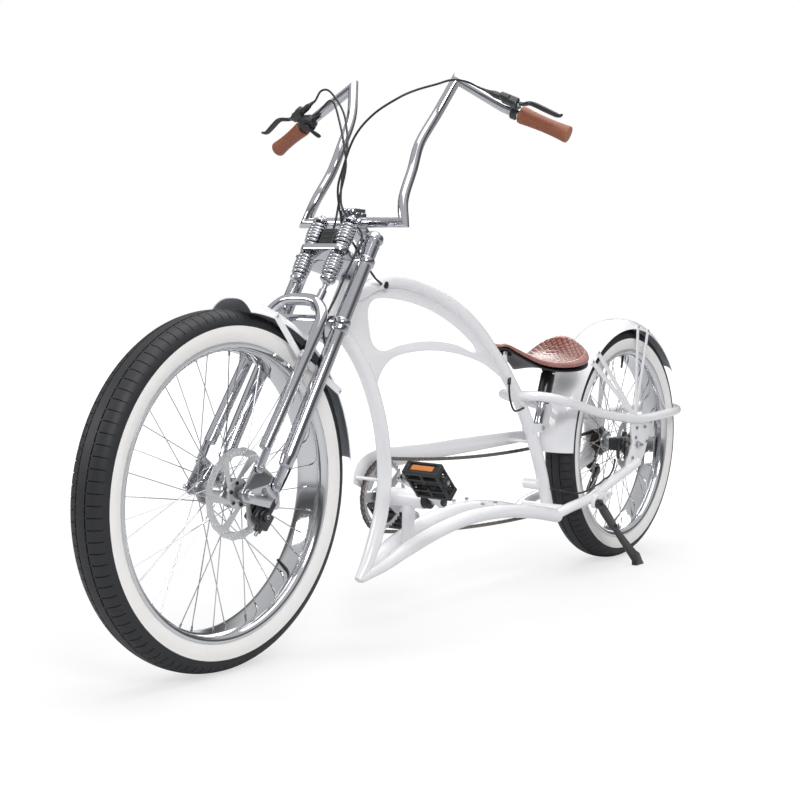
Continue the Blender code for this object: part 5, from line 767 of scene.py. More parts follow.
for sign, hand in ((1, "left"), (-1, "right")):
    bm = bmesh.new()
    base = fork(0, 0.063, sign * 0.080)
    profile = [(0.0680, 0.0), (0.0676, 0.0050), (0.0662, 0.0100), (0.0636, 0.0146), (0.0600, 0.0176), (0.0560, 0.0190),
               (0.0500, 0.0194), (0.0480, 0.0194), (0.0474, 0.0186), (0.0470, 0.0160), (0.0380, 0.0158), (0.0375, 0.0168),
               (0.0350, 0.0168), (0.0345, 0.0158), (-0.1593, 0.0158), (-0.1594, 0.0186), (-0.1600, 0.0194), (-0.1700, 0.0194),
               (-0.1722, 0.0186), (-0.1726, 0.0159), (-0.4560, 0.0158), (-0.4600, 0.0154), (-0.4760, 0.0135), (-0.4780, 0.0110),
               (-0.4780, 0.0)]
    lathe(bm, profile, base, FORK_UP, 0, 40)
    low, high = sorted((sign * 0.0765, sign * 0.0815))
    slab(bm, stadium([(0.063, -0.460, 0.0106), (0.063, -0.520, 0.0112)], 12), -high, -low, 0, (), 0.0010, FORK_SIDE)
    pivot = fork(-0.520, 0.063, 0)
    nut(bm, pivot + Vector((0, sign * 0.0812, 0)), (0, sign, 0), 0.0080, 0.0046, 1)
    rod(bm, pivot + Vector((0, sign * 0.0660, 0)), pivot + Vector((0, sign * 0.0880, 0)), 0.0038, 1, 20)
    nut(bm, pivot + Vector((0, sign * 0.0702, 0)), (0, -sign, 0), 0.0075, 0.0044, 1)
    put("fork_leg_tube_" + hand, bm, "steering", [CHROME, STEEL], ["fork_leg_" + hand], 34)


# Sprung legs
# One tube bent over the tyre, the two spring rods with cupped seats and nuts, a lug, a link bolt and a bracket at each leg.
bm = bmesh.new()
side_points = [fork(-0.4700, 0.1275, 0.073), fork(-0.4000, 0.1240, 0.073), fork(-0.3300, 0.1210, 0.073), fork(-0.2500, 0.1175, 0.073),
               fork(-0.1950, 0.1150, 0.073), fork(-0.1630, 0.1140, 0.0690), fork(-0.1400, 0.1150, 0.0500), fork(-0.1300, 0.1160, 0.0250)]
arch = side_points + [Vector((p.x, -p.y, p.z)) for p in reversed(side_points)]
line = smooth(arch, 8)
tube(bm, line, 0.0126, 0, 28)
for sign in (1, -1):
    low, high = sorted((sign * 0.0765, sign * 0.0815))
    slab(bm, stadium([(0.1270, -0.4560, 0.0086), (0.126, -0.512, 0.0102)], 12), -high, -low, 0, (), 0.0010, FORK_SIDE)
    link = fork(-0.512, 0.126, 0)
    rod(bm, link + Vector((0, sign * 0.0660, 0)), link + Vector((0, sign * 0.0880, 0)), 0.0038, 1, 20)
    nut(bm, link + Vector((0, sign * 0.0812, 0)), (0, sign, 0), 0.0080, 0.0046, 1)
    nut(bm, link + Vector((0, sign * 0.0702, 0)), (0, -sign, 0), 0.0075, 0.0044, 1)
    rod(bm, fork(-0.1490, 0.110, sign * 0.040), fork(-0.1000, 0.106, sign * 0.040), 0.0080, 0, 24, 0.001)
    rod(bm, fork(-0.4720, 0.1276, sign * 0.073), fork(-0.4640, 0.1272, sign * 0.073), 0.0118, 0, 26, 0.001)
    top = 0.0656
    lower = -0.0736
    profile = [(top + 0.0170, 0.0), (top + 0.0165, 0.0042), (top + 0.0150, 0.0050), (top + 0.0112, 0.0050), (top + 0.0112, 0.0080)]
    lathe(bm, [(-0.1030, 0), (-0.1030, 0.0050), (top + 0.0150, 0.0050), (top + 0.0162, 0.0042), (top + 0.0165, 0.0)],
          fork(0, 0.106, sign * 0.040), FORK_UP, 1, 26)
    lathe(bm, [(top, 0.0050), (top, 0.0152), (top - 0.0012, 0.0164), (top + 0.0010, 0.0166), (top + 0.0034, 0.0160),
               (top + 0.0044, 0.0100), (top + 0.0046, 0.0050)], fork(0, 0.106, sign * 0.040), FORK_UP, 0, 40)
    nut(bm, fork(top + 0.0046, 0.106, sign * 0.040), FORK_UP, 0.0092, 0.0064, 0)
    lathe(bm, [(lower, 0.0050), (lower, 0.0152), (lower + 0.0012, 0.0164), (lower - 0.0010, 0.0166), (lower - 0.0036, 0.0158),
               (lower - 0.0050, 0.0100), (lower - 0.0052, 0.0050)], fork(0, 0.106, sign * 0.040), FORK_UP, 0, 40)
    nut(bm, fork(lower - 0.0052, 0.106, sign * 0.040), -FORK_UP, 0.0092, 0.0070, 0)
put("springer_legs", bm, "springer", [CHROME, STEEL], ["front_legs"], 34)

for sign, hand in ((1, "left"), (-1, "right")):
    for label, low, high in (("upper", 0.0033, 0.0653), ("lower", -0.0733, -0.0113)):
        bm = bmesh.new()
        curls, wire = 7, 0.0031
        points = []
        for k in range(curls * 26 + 1):
            t = k / (curls * 26)
            ease = t + math.sin(2 * math.pi * t) * 0.035
            s = low + wire + (high - low - 2 * wire) * min(max(ease, 0), 1)
            a = 2 * math.pi * curls * t
            radius = 0.0138 + 0.0026 * math.sin(math.pi * t)
            points.append(fork(s, 0.106 + radius * math.cos(a), sign * 0.040 + radius * math.sin(a)))
        tube(bm, points, wire, 0, 12)
        put(label + "_coil_" + hand, bm, "springer", [CHROME], [label + "_spring_" + hand], 60)

bm = bmesh.new()
brick(bm, fork(0.0263, 0.100, 0.0), (0.030, 0.040, 0.045), 0, FORK_AHEAD, (0, 1, 0), 0.0070, 4)
for z in (0.012, 0.024, 0.036):
    brick(bm, fork(z, 0.1152, 0.0), (0.0016, 0.030, 0.0040), 0, FORK_AHEAD, (0, 1, 0), 0.0007, 2)
put("yoke_cover_moulded", bm, "steering", [PLASTIC], ["yoke_cover"], 34)


# Rockers and front axle
# Chromed plates from the pivot over the link to the axle, with eased edges, washers and nuts.
pivot, link, hub = fork(-0.520, 0.063, 0), fork(-0.512, 0.126, 0), at(0, 0, 0.352)
for sign, hand in ((1, "left"), (-1, "right")):
    bm = bmesh.new()
    lobes = [(pivot.x - AXLE_X, pivot.z, 0.0125), (link.x - AXLE_X, link.z, 0.0110), (0.0, 0.352, 0.0150)]
    if sign > 0:
        lobes.append((-0.084, 0.324, 0.0100))
    low, high = sorted((sign * 0.0705, sign * 0.0755))
    holes = [ring_points(pivot.x - AXLE_X, pivot.z, 0.0043, 20), ring_points(link.x - AXLE_X, link.z, 0.0064, 20),
             ring_points(0.0, 0.352, 0.0053, 20)]
    if sign > 0:
        holes.append(ring_points(-0.0470, 0.3530, 0.0080, 24))
    slab(bm, stadium(lobes, 14), low, high, 0, holes, 0.0012)
    lathe(bm, [(0, 0.0054), (0, 0.0110), (0.0010, 0.0116), (0.0016, 0.0110), (0.0016, 0.0054)], hub + Vector((0, sign * 0.0755, 0)),
          (0, sign, 0), 1, 30)
    put("rocker_plate_" + hand, bm, "rocker", [CHROME, STEEL], ["rocker_" + hand], 34)

for name, body, centre, inner, outer, node in (("front_axle_bolt", "rocker", at(0, 0, 0.352), 0.0575, 0.0755, "front_axle"),
                                               ("rear_axle_bolt", "frame", at(-1.619, 0, 0.3253), 0.0600, 0.0760, "rear_axle")):
    bm = bmesh.new()
    rod(bm, centre - Vector((0, 0.0938, 0)), centre + Vector((0, 0.0938, 0)), 0.0048, 0, 24, 0.0010)
    for sign in (1, -1):
        lathe(bm, [(outer + 0.0017, 0.005), (outer + 0.0017, 0.0092), (outer + 0.0027, 0.0094), (outer + 0.0030, 0.005)], centre,
              (0, sign, 0), 0, 26)
        nut(bm, centre + Vector((0, sign * (outer + 0.0030), 0)), (0, sign, 0), 0.0082, 0.0062, 1)
        lathe(bm, [(inner, 0.005), (inner, 0.0088), (0.0698, 0.0088), (0.0698, 0.005)], centre, (0, sign, 0), 0, 6)
        rod(bm, centre + Vector((0, sign * (outer + 0.0090), 0)), centre + Vector((0, sign * (outer + 0.0100), 0)), 0.0062, 1, 24)
    put(name, bm, body, [STEEL, CHROME], [node], 34)

# Handlebar and stem
# A polished bar with sharp mitres below and above its curved risers, and a four-bolt stem block on a short chromed neck.
BAR = [(-0.409, 0.132, 0.887), (-0.425, 0.1185, 0.936), (-0.467, 0.1095, 1.000), (-0.497, 0.1065, 1.059),
       (-0.545, 0.1180, 1.128), (-0.580, 0.1410, 1.2012)]
HAND = [(-0.5835, 0.2600, 1.1350), (-0.6190, 0.3960, 1.0757)]
bm = bmesh.new()
riser = smooth([at(*p) for p in BAR], 8)
half_bar = riser + [at(*p) for p in HAND]
half_bar[-1] = half_bar[-1] - (half_bar[-1] - half_bar[-2]).normalized() * 0.002
tube(bm, [Vector((p.x, -p.y, p.z)) for p in reversed(half_bar)] + half_bar, 0.0111, 0, 28)
put("handlebar_polished", bm, "steering", [CHROME], ["handlebar"], 30)

bm = bmesh.new()
bar_mid = at(-0.409, 0, 0.887)
lathe(bm, [(0.0623, 0.0), (0.0623, 0.0142), (0.0632, 0.0150), (0.0960, 0.0150), (0.0980, 0.0135), (0.0982, 0.0)], fork(0, 0, 0),
      FORK_UP, 0, 36)
arm_from = fork(0.0900, 0, 0)
along = (bar_mid - arm_from).normalized()
brick(bm, (bar_mid + arm_from) / 2, (0.034, 0.026, (bar_mid - arm_from).length + 0.010), 0, Vector((0, 1, 0)),
      along.cross(Vector((0, 1, 0))), 0.0060, 4)
brick(bm, bar_mid + Vector((-0.0090, 0, 0.002)), (0.0200, 0.044, 0.040), 0, bevel=0.0046, steps=4)
brick(bm, bar_mid + Vector((0.0115, 0, 0.002)), (0.0150, 0.044, 0.040), 0, bevel=0.0042, steps=4)
for y in (-0.0165, -0.0055, 0.0055, 0.0165):
    brick(bm, bar_mid + Vector((0.0040, y, 0.0130)), (0.0400, 0.0076, 0.0340), 0, bevel=0.0026)
for y in (-0.015, 0.015):
    for z in (-0.0125, 0.0165):
        bolt_head(bm, bar_mid + Vector((0.0186, y, z)), (1, 0, 0), 0.0038, 0.0018, 1)
bolt_head(bm, fork(0.0850, 0.0135, 0.0), FORK_AHEAD, 0.0040, 0.0020, 1)
put("stem_clamp", bm, "steering", [CHROME, STEEL], ["stem"], 34)

# Grips
# Smooth red-brown grips with a slight waist, a rolled inner edge and a paler moulded end.
GRIP = shade("grip_rubber", "8a4f38", "96583f", (0.42, 0.56), 0.0, 14, bump=0.04, grain=0.5, wear="a46a4c")
GRIP_END = shade("grip_end", "a56a52", "b0745c", (0.45, 0.55), 0.0, 8)
for sign, hand in ((1, "left"), (-1, "right")):
    bm = bmesh.new()
    end = at(HAND[1][0], sign * HAND[1][1], HAND[1][2])
    start = at(HAND[0][0], sign * HAND[0][1], HAND[0][2])
    profile = [(-0.1120, 0.0114), (-0.1120, 0.0168), (-0.1110, 0.0180), (-0.1060, 0.0186), (-0.0990, 0.0182), (-0.0860, 0.0172),
               (-0.0680, 0.0163), (-0.0480, 0.0159), (-0.0280, 0.0162), (-0.0120, 0.0172), (-0.0030, 0.0180), (0.0012, 0.0178),
               (0.0026, 0.0166), (0.0029, 0.0135), (0.0022, 0.0100), (0.0022, 0.0)]
    lathe(bm, profile, end, (end - start).normalized(), [0] * 12 + [1] * 3, 44)
    put("grip_moulded_" + hand, bm, "steering", [GRIP, GRIP_END], ["grip_" + hand], 50)


# Brake levers and shifter
# Black forged levers on split clamps with pinch bolts and barrel adjusters, and the round thumb shifter on the right.
def lever_frame(sign):
    end = at(HAND[1][0], sign * HAND[1][1], HAND[1][2])
    start = at(HAND[0][0], sign * HAND[0][1], HAND[0][2])
    out = (end - start).normalized()
    front = Vector((0.78, 0, 0.62))
    front = (front - out * front.dot(out)).normalized()
    up = out.cross(front) * sign * -1.0
    return end - out * 0.1250, out, front, up


def lever_at(sign, o, f, u=0.0):
    base, out, front, up = lever_frame(sign)
    return base + out * o + front * f + up * u


for sign, hand in ((1, "left"), (-1, "right")):
    base, out, front, up = lever_frame(sign)
    bm = bmesh.new()
    lathe(bm, [(-0.0060, 0.0114), (-0.0060, 0.0152), (-0.0050, 0.0161), (0.0050, 0.0161), (0.0060, 0.0152), (0.0060, 0.0114)],
          base, out, 0, 36)
    brick(bm, lever_at(sign, -0.002, 0.019), (0.016, 0.014, 0.013), 0, out, front, 0.0030)
    brick(bm, lever_at(sign, -0.0100, 0.0330), (0.0380, 0.0190, 0.0200), 0, out, front, 0.0052, 4)
    brick(bm, lever_at(sign, -0.0230, 0.0385), (0.0240, 0.0130, 0.0150), 0, out, front, 0.0045, 4)
    brick(bm, lever_at(sign, -0.0400, 0.0318), (0.0260, 0.0130, 0.0135), 0, out, front, 0.0040, 4)
    for u in (-0.0072, 0.0072):
        brick(bm, lever_at(sign, 0.0040, 0.0340, u), (0.0066, 0.0160, 0.0022), 0, out, front, 0.0008, 2)
    lathe(bm, [(0, 0), (0, 0.0056), (0.0012, 0.0062), (0.0060, 0.0062), (0.0072, 0.0054), (0.0080, 0.0048), (0.0190, 0.0036),
               (0.0200, 0.0030), (0.0200, 0)], lever_at(sign, -0.0498, 0.032), -out, 0, 22)
    for k in range(10):
        t = 2 * math.pi * k / 10
        spot = lever_at(sign, -0.0535, 0.032 + 0.0058 * math.cos(t), 0.0058 * math.sin(t))
        brick(bm, spot, (0.0040, 0.0009, 0.0009), 0, out, front, 0.0)
    bolt_head(bm, lever_at(sign, 0.0, 0.0130, 0.0090), up, 0.0036, 0.0030, 1)
    put("lever_body_" + hand, bm, "steering", [BLACK, STEEL], ["brake_body_" + hand], 34)
    bm = bmesh.new()
    points = smooth([lever_at(sign, o, f) for o, f in ((0.0080, 0.034), (0.0220, 0.040), (0.0340, 0.0500), (0.0460, 0.0535),
                                                       (0.0700, 0.0520), (0.0960, 0.0500), (0.1060, 0.0520), (0.1120, 0.0590))], 6)
    tube(bm, points, 0.0060, 0, 16, between([0.80, 0.80, 0.84, 1.05, 1.10, 1.00, 0.72, 0.40], len(points)), squeeze=0.80, across=up)
    rod(bm, lever_at(sign, 0.0100, 0.034, -0.0052), lever_at(sign, 0.0100, 0.034, 0.0052), 0.0042, 1, 18)
    put("lever_blade_" + hand, bm, "brake_lever_" + hand, [BLACK, STEEL], ["brake_lever_" + hand], 40)

base, out, front, up = lever_frame(-1)
bm = bmesh.new()
lathe(bm, [(-0.0220, 0.0114), (-0.0220, 0.0152), (-0.0212, 0.0161), (-0.0128, 0.0161), (-0.0120, 0.0152), (-0.0120, 0.0114)],
      base, out, 0, 36)
case = lever_at(-1, -0.030, 0.010, 0)
lathe(bm, [(-0.0130, 0.0), (-0.0130, 0.0150), (-0.0138, 0.0188), (-0.0155, 0.0198), (-0.0280, 0.0199), (-0.0305, 0.0190),
           (-0.0318, 0.0160), (-0.0319, 0.0)], case, up, 0, 44)
lathe(bm, [(-0.0128, 0.0), (-0.0128, 0.0070), (-0.0126, 0.0084), (-0.0131, 0.0092)], case, up, 1, 30)
brick(bm, lever_at(-1, -0.0430, 0.010, -0.0220), (0.0140, 0.0100, 0.0090), 0, out, front, 0.0030, 3)
put("shifter_case", bm, "steering", [PLASTIC, STEEL], ["shifter"], 34)
bm = bmesh.new()
pivot_s = lever_at(-1, -0.030, 0.010, -0.0353)
lathe(bm, [(-0.0028, 0.0), (-0.0028, 0.0080), (-0.0018, 0.0088), (0.0018, 0.0088), (0.0028, 0.0080), (0.0028, 0.0)], pivot_s, up, 0, 30)
paddle = []
for k in range(11):
    t = k / 10
    paddle.append(pivot_s - front * (0.006 + 0.0340 * t) + up * 0.0)
tube(bm, paddle, 0.0070, 0, 16, [0.80, 0.78, 0.76, 0.78, 0.82, 0.88, 0.94, 0.98, 0.98, 0.90, 0.60], squeeze=0.34, across=up)
put("shift_paddle", bm, "shift_lever", [PLASTIC], ["shift_lever"], 40)


# Cables
# Black cables on the CAD's own routes, each with a ferrule at either end.
def cable(name, points, body, node):
    bm = bmesh.new()
    line = smooth(points, 8)
    tube(bm, line, 0.0024, 0, 12)
    for a, b in ((line[0], line[2]), (line[-1], line[-3])):
        run = (b - a).normalized()
        lathe(bm, [(0.0, 0.0), (0.0, 0.0026), (0.0006, 0.0031), (0.0095, 0.0031), (0.0105, 0.0025)], a, run, 1, 14)
    put(name, bm, body, [HOSE, PLASTIC], [node], 40)


rear_line = [(-0.5497, 0.2365, 1.1672), (-0.5464, 0.2237, 1.1728), (-0.522, 0.203, 1.1850), (-0.485, 0.192, 1.1840),
             (-0.446, 0.180, 1.171), (-0.405, 0.160, 1.156), (-0.376, 0.136, 1.138), (-0.348, 0.094, 1.104), (-0.330, 0.060, 1.058),
             (-0.322, 0.036, 0.991), (-0.328, 0.020, 0.950), (-0.345, 0.015, 0.900), (-0.362, 0.014, 0.868), (-0.385, 0.022, 0.838),
             (-0.404, 0.030, 0.810), (-0.425, 0.032, 0.788), (-0.451, 0.029, 0.770), (-0.474, 0.0240, 0.761), (-0.4860, 0.0186, 0.7575)]
cable("rear_brake_hose", [at(*p) for p in rear_line], "steering", "rear_brake_cable")
shift_line = [(-0.5571, -0.2398, 1.1320), (-0.5548, -0.2309, 1.1359), (-0.5480, -0.2050, 1.1540), (-0.538, -0.176, 1.1680),
              (-0.518, -0.145, 1.156), (-0.492, -0.110, 1.115), (-0.458, -0.070, 1.064), (-0.432, -0.042, 1.008),
              (-0.405, -0.034, 0.950), (-0.385, -0.030, 0.890), (-0.376, -0.034, 0.850), (-0.386, -0.036, 0.812),
              (-0.420, -0.032, 0.786), (-0.455, -0.028, 0.768), (-0.480, -0.0235, 0.761), (-0.4920, -0.0187, 0.7585)]
cable("shift_hose", [at(*p) for p in shift_line], "steering", "shift_cable")
front_line = [at(*p) for p in ((-0.5497, -0.2365, 1.1672), (-0.5464, -0.2237, 1.1728), (-0.528, -0.192, 1.1900),
                               (-0.510, -0.150, 1.182), (-0.486, -0.092, 1.128), (-0.440, -0.045, 1.052), (-0.398, -0.024, 0.985))]
front_line += [fork(*p) for p in ((0.118, 0.100, -0.012), (0.090, 0.090, 0.015), (0.060, 0.078, 0.052), (0.030, 0.086, 0.070),
                                  (-0.004, 0.095, 0.075), (-0.060, 0.094, 0.070), (-0.110, 0.090, 0.064), (-0.151, 0.0885, 0.058),
                                  (-0.178, 0.078, 0.0555), (-0.198, 0.064, 0.0575), (-0.218, 0.051, 0.063), (-0.242, 0.0452, 0.071),
                                  (-0.270, 0.0452, 0.078), (-0.340, 0.0452, 0.080), (-0.410, 0.0452, 0.079), (-0.445, 0.036, 0.073))]
front_line += [at(*p) for p in ((-0.1180, 0.0600, 0.3560), (-0.1045, 0.0525, 0.3360), (-0.0944, 0.0510, 0.3244))]
cable("front_brake_hose", front_line, "steering", "front_brake_cable")
run_line = [(-1.2420, 0.0190, 0.2320), (-1.2400, 0.0380, 0.2320), (-1.2580, 0.0640, 0.2260), (-1.3000, 0.0800, 0.2220),
            (-1.3800, 0.0840, 0.2360), (-1.4300, 0.0750, 0.2440), (-1.4750, 0.0660, 0.2473), (-1.5150, 0.0560, 0.2600),
            (-1.5340, 0.0515, 0.2790), (-1.5366, 0.0503, 0.2892)]
cable("rear_hose_run", [at(*p) for p in run_line], "frame", "rear_cable_run")

# Chain
# A roller chain of real pitch laid along the CAD's loop: alternate inner and outer plates, with rollers and pins.
PITCH = 0.0127


def pitch_circle(teeth):
    return PITCH / (2 * math.sin(math.pi / teeth))


stations = [((-0.632, 0.271), pitch_circle(42), 1.0, -0.0700), ((-1.619, 0.3253), pitch_circle(14), 1.0, -0.0595),
            ((-1.640, 0.240), pitch_circle(11), -1.0, -0.0595), ((-1.600, 0.185), pitch_circle(11), 1.0, -0.0595)]


def touch(first, second):
    (ax, az), ar, sa, _ = first
    (bx, bz), br, sb, _ = second
    dx, dz = bx - ax, bz - az
    span = math.hypot(dx, dz)
    sine = (ar * sa - br * sb) / span
    cosine = math.sqrt(1 - sine * sine)
    ux, uz = dx / span, dz / span
    nx, nz = ux * sine + uz * cosine, uz * sine - ux * cosine
    return (ax + nx * ar * sa, az + nz * ar * sa), (bx + nx * br * sb, bz + nz * br * sb)


runs = [touch(stations[k], stations[(k + 1) % 4]) for k in range(4)]
sags = [0.0270, 0.0, 0.0, 0.0266]
turns = [4 * s / math.dist(*r) for s, r in zip(sags, runs)]
turns[3] = -turns[3]
arcs = []
for k in range(4):
    (cx, cz), radius, sense, y = stations[k]
    enter, leave = runs[k - 1][1], runs[k][0]
    a0 = math.atan2(enter[1] - cz, enter[0] - cx) - turns[k - 1] * sense
    a1 = math.atan2(leave[1] - cz, leave[0] - cx) + turns[k] * sense
    sweep = (a1 - a0) * sense % (2 * math.pi)
    steps = 24
    arcs.append([Vector((cx + radius * math.cos(a0 + sense * sweep * j / steps), y,
                         cz + radius * math.sin(a0 + sense * sweep * j / steps))) for j in range(steps + 1)])
loop = []
for k in range(4):
    loop += arcs[k]
    if sags[k]:
        begin, finish_point = arcs[k][-1], arcs[(k + 1) % 4][0]
        for j in range(1, 40):
            t = j / 40
            loop.append(begin.lerp(finish_point, t) - Vector((0, 0, 4 * sags[k] * t * (1 - t))))
loop.append(loop[0].copy())
lengths = [0.0]
for a, b in zip(loop, loop[1:]):
    lengths.append(lengths[-1] + (b - a).length)
links = round(lengths[-1] / PITCH / 2) * 2
spots = []
walk = 0
for k in range(links):
    goal = lengths[-1] * k / links
    while lengths[walk + 1] < goal:
        walk += 1
    t = (goal - lengths[walk]) / max(lengths[walk + 1] - lengths[walk], 1e-9)
    p = loop[walk].lerp(loop[walk + 1], t)
    spots.append(at(p.x, p.y, p.z))
bm = bmesh.new()
shape = []
for j in range(20):
    a = 2 * math.pi * j / 20
    u = 0.00635 * (1 if math.cos(a) > 0 else -1) + 0.0043 * math.cos(a)
    v = 0.0044 * math.sin(a)
    shape.append((u, v * (0.72 if abs(math.cos(a)) < 0.25 else 1.0)))
for k in range(links):
    a, b = spots[k], spots[(k + 1) % links]
    run = (b - a).normalized()
    middle = (a + b) / 2
    up_l = run.cross(Vector((0, 1, 0))).normalized()
    spread = 0.0026 if k % 2 else 0.0017
    for sign in (1, -1):
        faces = []
        for off in (spread, spread + 0.0008):
            faces.append([bm.verts.new(middle + run * u + up_l * v + Vector((0, sign * off, 0))) for u, v in shape])
        count = len(shape)
        for j in range(count):
            bm.faces.new((faces[0][j], faces[0][(j + 1) % count], faces[1][(j + 1) % count], faces[1][j])).material_index = 0
        bm.faces.new(faces[0]).material_index = 0
        bm.faces.new(faces[1]).material_index = 0
    lathe(bm, [(-0.0016, 0.0), (-0.0016, 0.0036), (0.0016, 0.0036), (0.0016, 0.0)], a, (0, 1, 0), 0, 10)
    lathe(bm, [(-0.00345, 0.0), (-0.00345, 0.0016), (0.00345, 0.0016), (0.00345, 0.0)], a, (0, 1, 0), 1, 8)
CHAIN = shade("chain_steel", "6b625d", "8a807a", (0.25, 0.42), 1.0, 9, bump=0.02, grain=0.6)
put("chain_links", bm, "frame", [CHAIN, STEEL], ["chain"], 34, weld=False)


# Chainring and cranks
# A toothed alloy ring on five arms, forged arms tapering to the pedal eyes, dust caps and bolts.
def gear(teeth, tip, root, lands=0.30):
    made = []
    for k in range(teeth):
        for part, r in ((-0.5, root), (-0.34, root), (-lands / 2, tip), (lands / 2, tip), (0.34, root)):
            a = (k + part) * 2 * math.pi / teeth
            made.append((r * math.cos(a), r * math.sin(a)))
    return made


CRANK = at(-0.632, 0, 0.271)
CRANK_PLACE = Matrix(((1, 0, 0, CRANK.x), (0, 0, 1, 0), (0, 1, 0, CRANK.z), (0, 0, 0, 1)))
bm = bmesh.new()
pitch = pitch_circle(42)
holes = [ring_points(0, 0, 0.0176, 40)]
for k in range(5):
    start = 2 * math.pi * (k + 0.5) / 5
    outer = [(pitch - 0.0155, start - 0.46 + 0.92 * j / 14) for j in range(15)]
    inner = [(0.034, start + 0.30 - 0.60 * j / 6) for j in range(7)]
    holes.append([(r * math.cos(a), r * math.sin(a)) for r, a in outer + inner])
slab(bm, gear(42, pitch - 0.0042, pitch - 0.0086), -0.0713, -0.0687, 0, holes, 0.0005, CRANK_PLACE)
lathe(bm, [(-0.0722, 0.0178), (-0.0722, 0.0260), (-0.0713, 0.0270), (-0.0713, 0.0178)], CRANK, (0, 1, 0), 0, 44, closed=True)
for k in range(5):
    a = 2 * math.pi * k / 5
    bolt_head(bm, CRANK + Vector((0.0600 * math.cos(a), -0.0712, 0.0600 * math.sin(a))), (0, -1, 0), 0.0042, 0.0022, 1)
put("chainring_toothed", bm, "crank", [ALLOY, STEEL], ["chainring"], 34)

for sign, hand in ((1, "left"), (-1, "right")):
    bm = bmesh.new()
    angle = math.radians(24.5) + (0 if sign > 0 else math.pi)
    run = Vector((math.cos(angle), 0, math.sin(angle)))
    width = Vector((-math.sin(angle), 0, math.cos(angle)))
    low, high = 0.0850, 0.0970
    rings = []
    for t, half, inner_y, outer_y in ((-0.0150, 0.0050, 0.087, 0.0950), (-0.0125, 0.0098, 0.0856, 0.0965), (-0.0075, 0.0128, low, high),
                                      (0.0, 0.0140, low, high), (0.0150, 0.0126, low, high), (0.0400, 0.0100, low + 0.0004, high - 0.0010),
                                      (0.0900, 0.0090, low + 0.0008, high - 0.0014), (0.1350, 0.0088, low + 0.0006, high - 0.0012),
                                      (0.1560, 0.0104, low, high - 0.0003), (0.1700, 0.0118, low, high), (0.1780, 0.0098, low, high - 0.0003),
                                      (0.1822, 0.0045, low + 0.0015, high - 0.0020)):
        ring = []
        for j in range(24):
            a = 2 * math.pi * j / 24
            u = math.copysign(abs(math.cos(a)) ** 0.55, math.cos(a))
            v = math.copysign(abs(math.sin(a)) ** 0.55, math.sin(a))
            y = (inner_y + outer_y) / 2 + (outer_y - inner_y) / 2 * v
            ring.append(CRANK + run * t + width * half * u + Vector((0, sign * y, 0)))
        rings.append(ring)
    skin(bm, rings, 0)
    if sign < 0:
        lathe(bm, [(0.0668, 0.0086), (0.0668, 0.0164), (0.0676, 0.0171), (0.0735, 0.0171), (0.0735, 0.0218), (0.0860, 0.0210),
                   (0.0862, 0.0150)], CRANK, (0, -1, 0), 0, 40)
    put("crank_forged_" + hand, bm, "crank", [POLISHED, STEEL], ["crank_arm_" + hand], 50)

bm = bmesh.new()
rod(bm, CRANK - Vector((0, 0.0970, 0)), CRANK + Vector((0, 0.0970, 0)), 0.0084, 0, 28)
for sign in (1, -1):
    lathe(bm, [(0.0973, 0.0), (0.0973, 0.0098), (0.0980, 0.0100), (0.1004, 0.0094), (0.1012, 0.0076), (0.1013, 0.0)], CRANK,
          (0, sign, 0), 1, 36)
put("spindle_and_caps", bm, "crank", [STEEL, BLACK], ["crank_spindle"], 34)

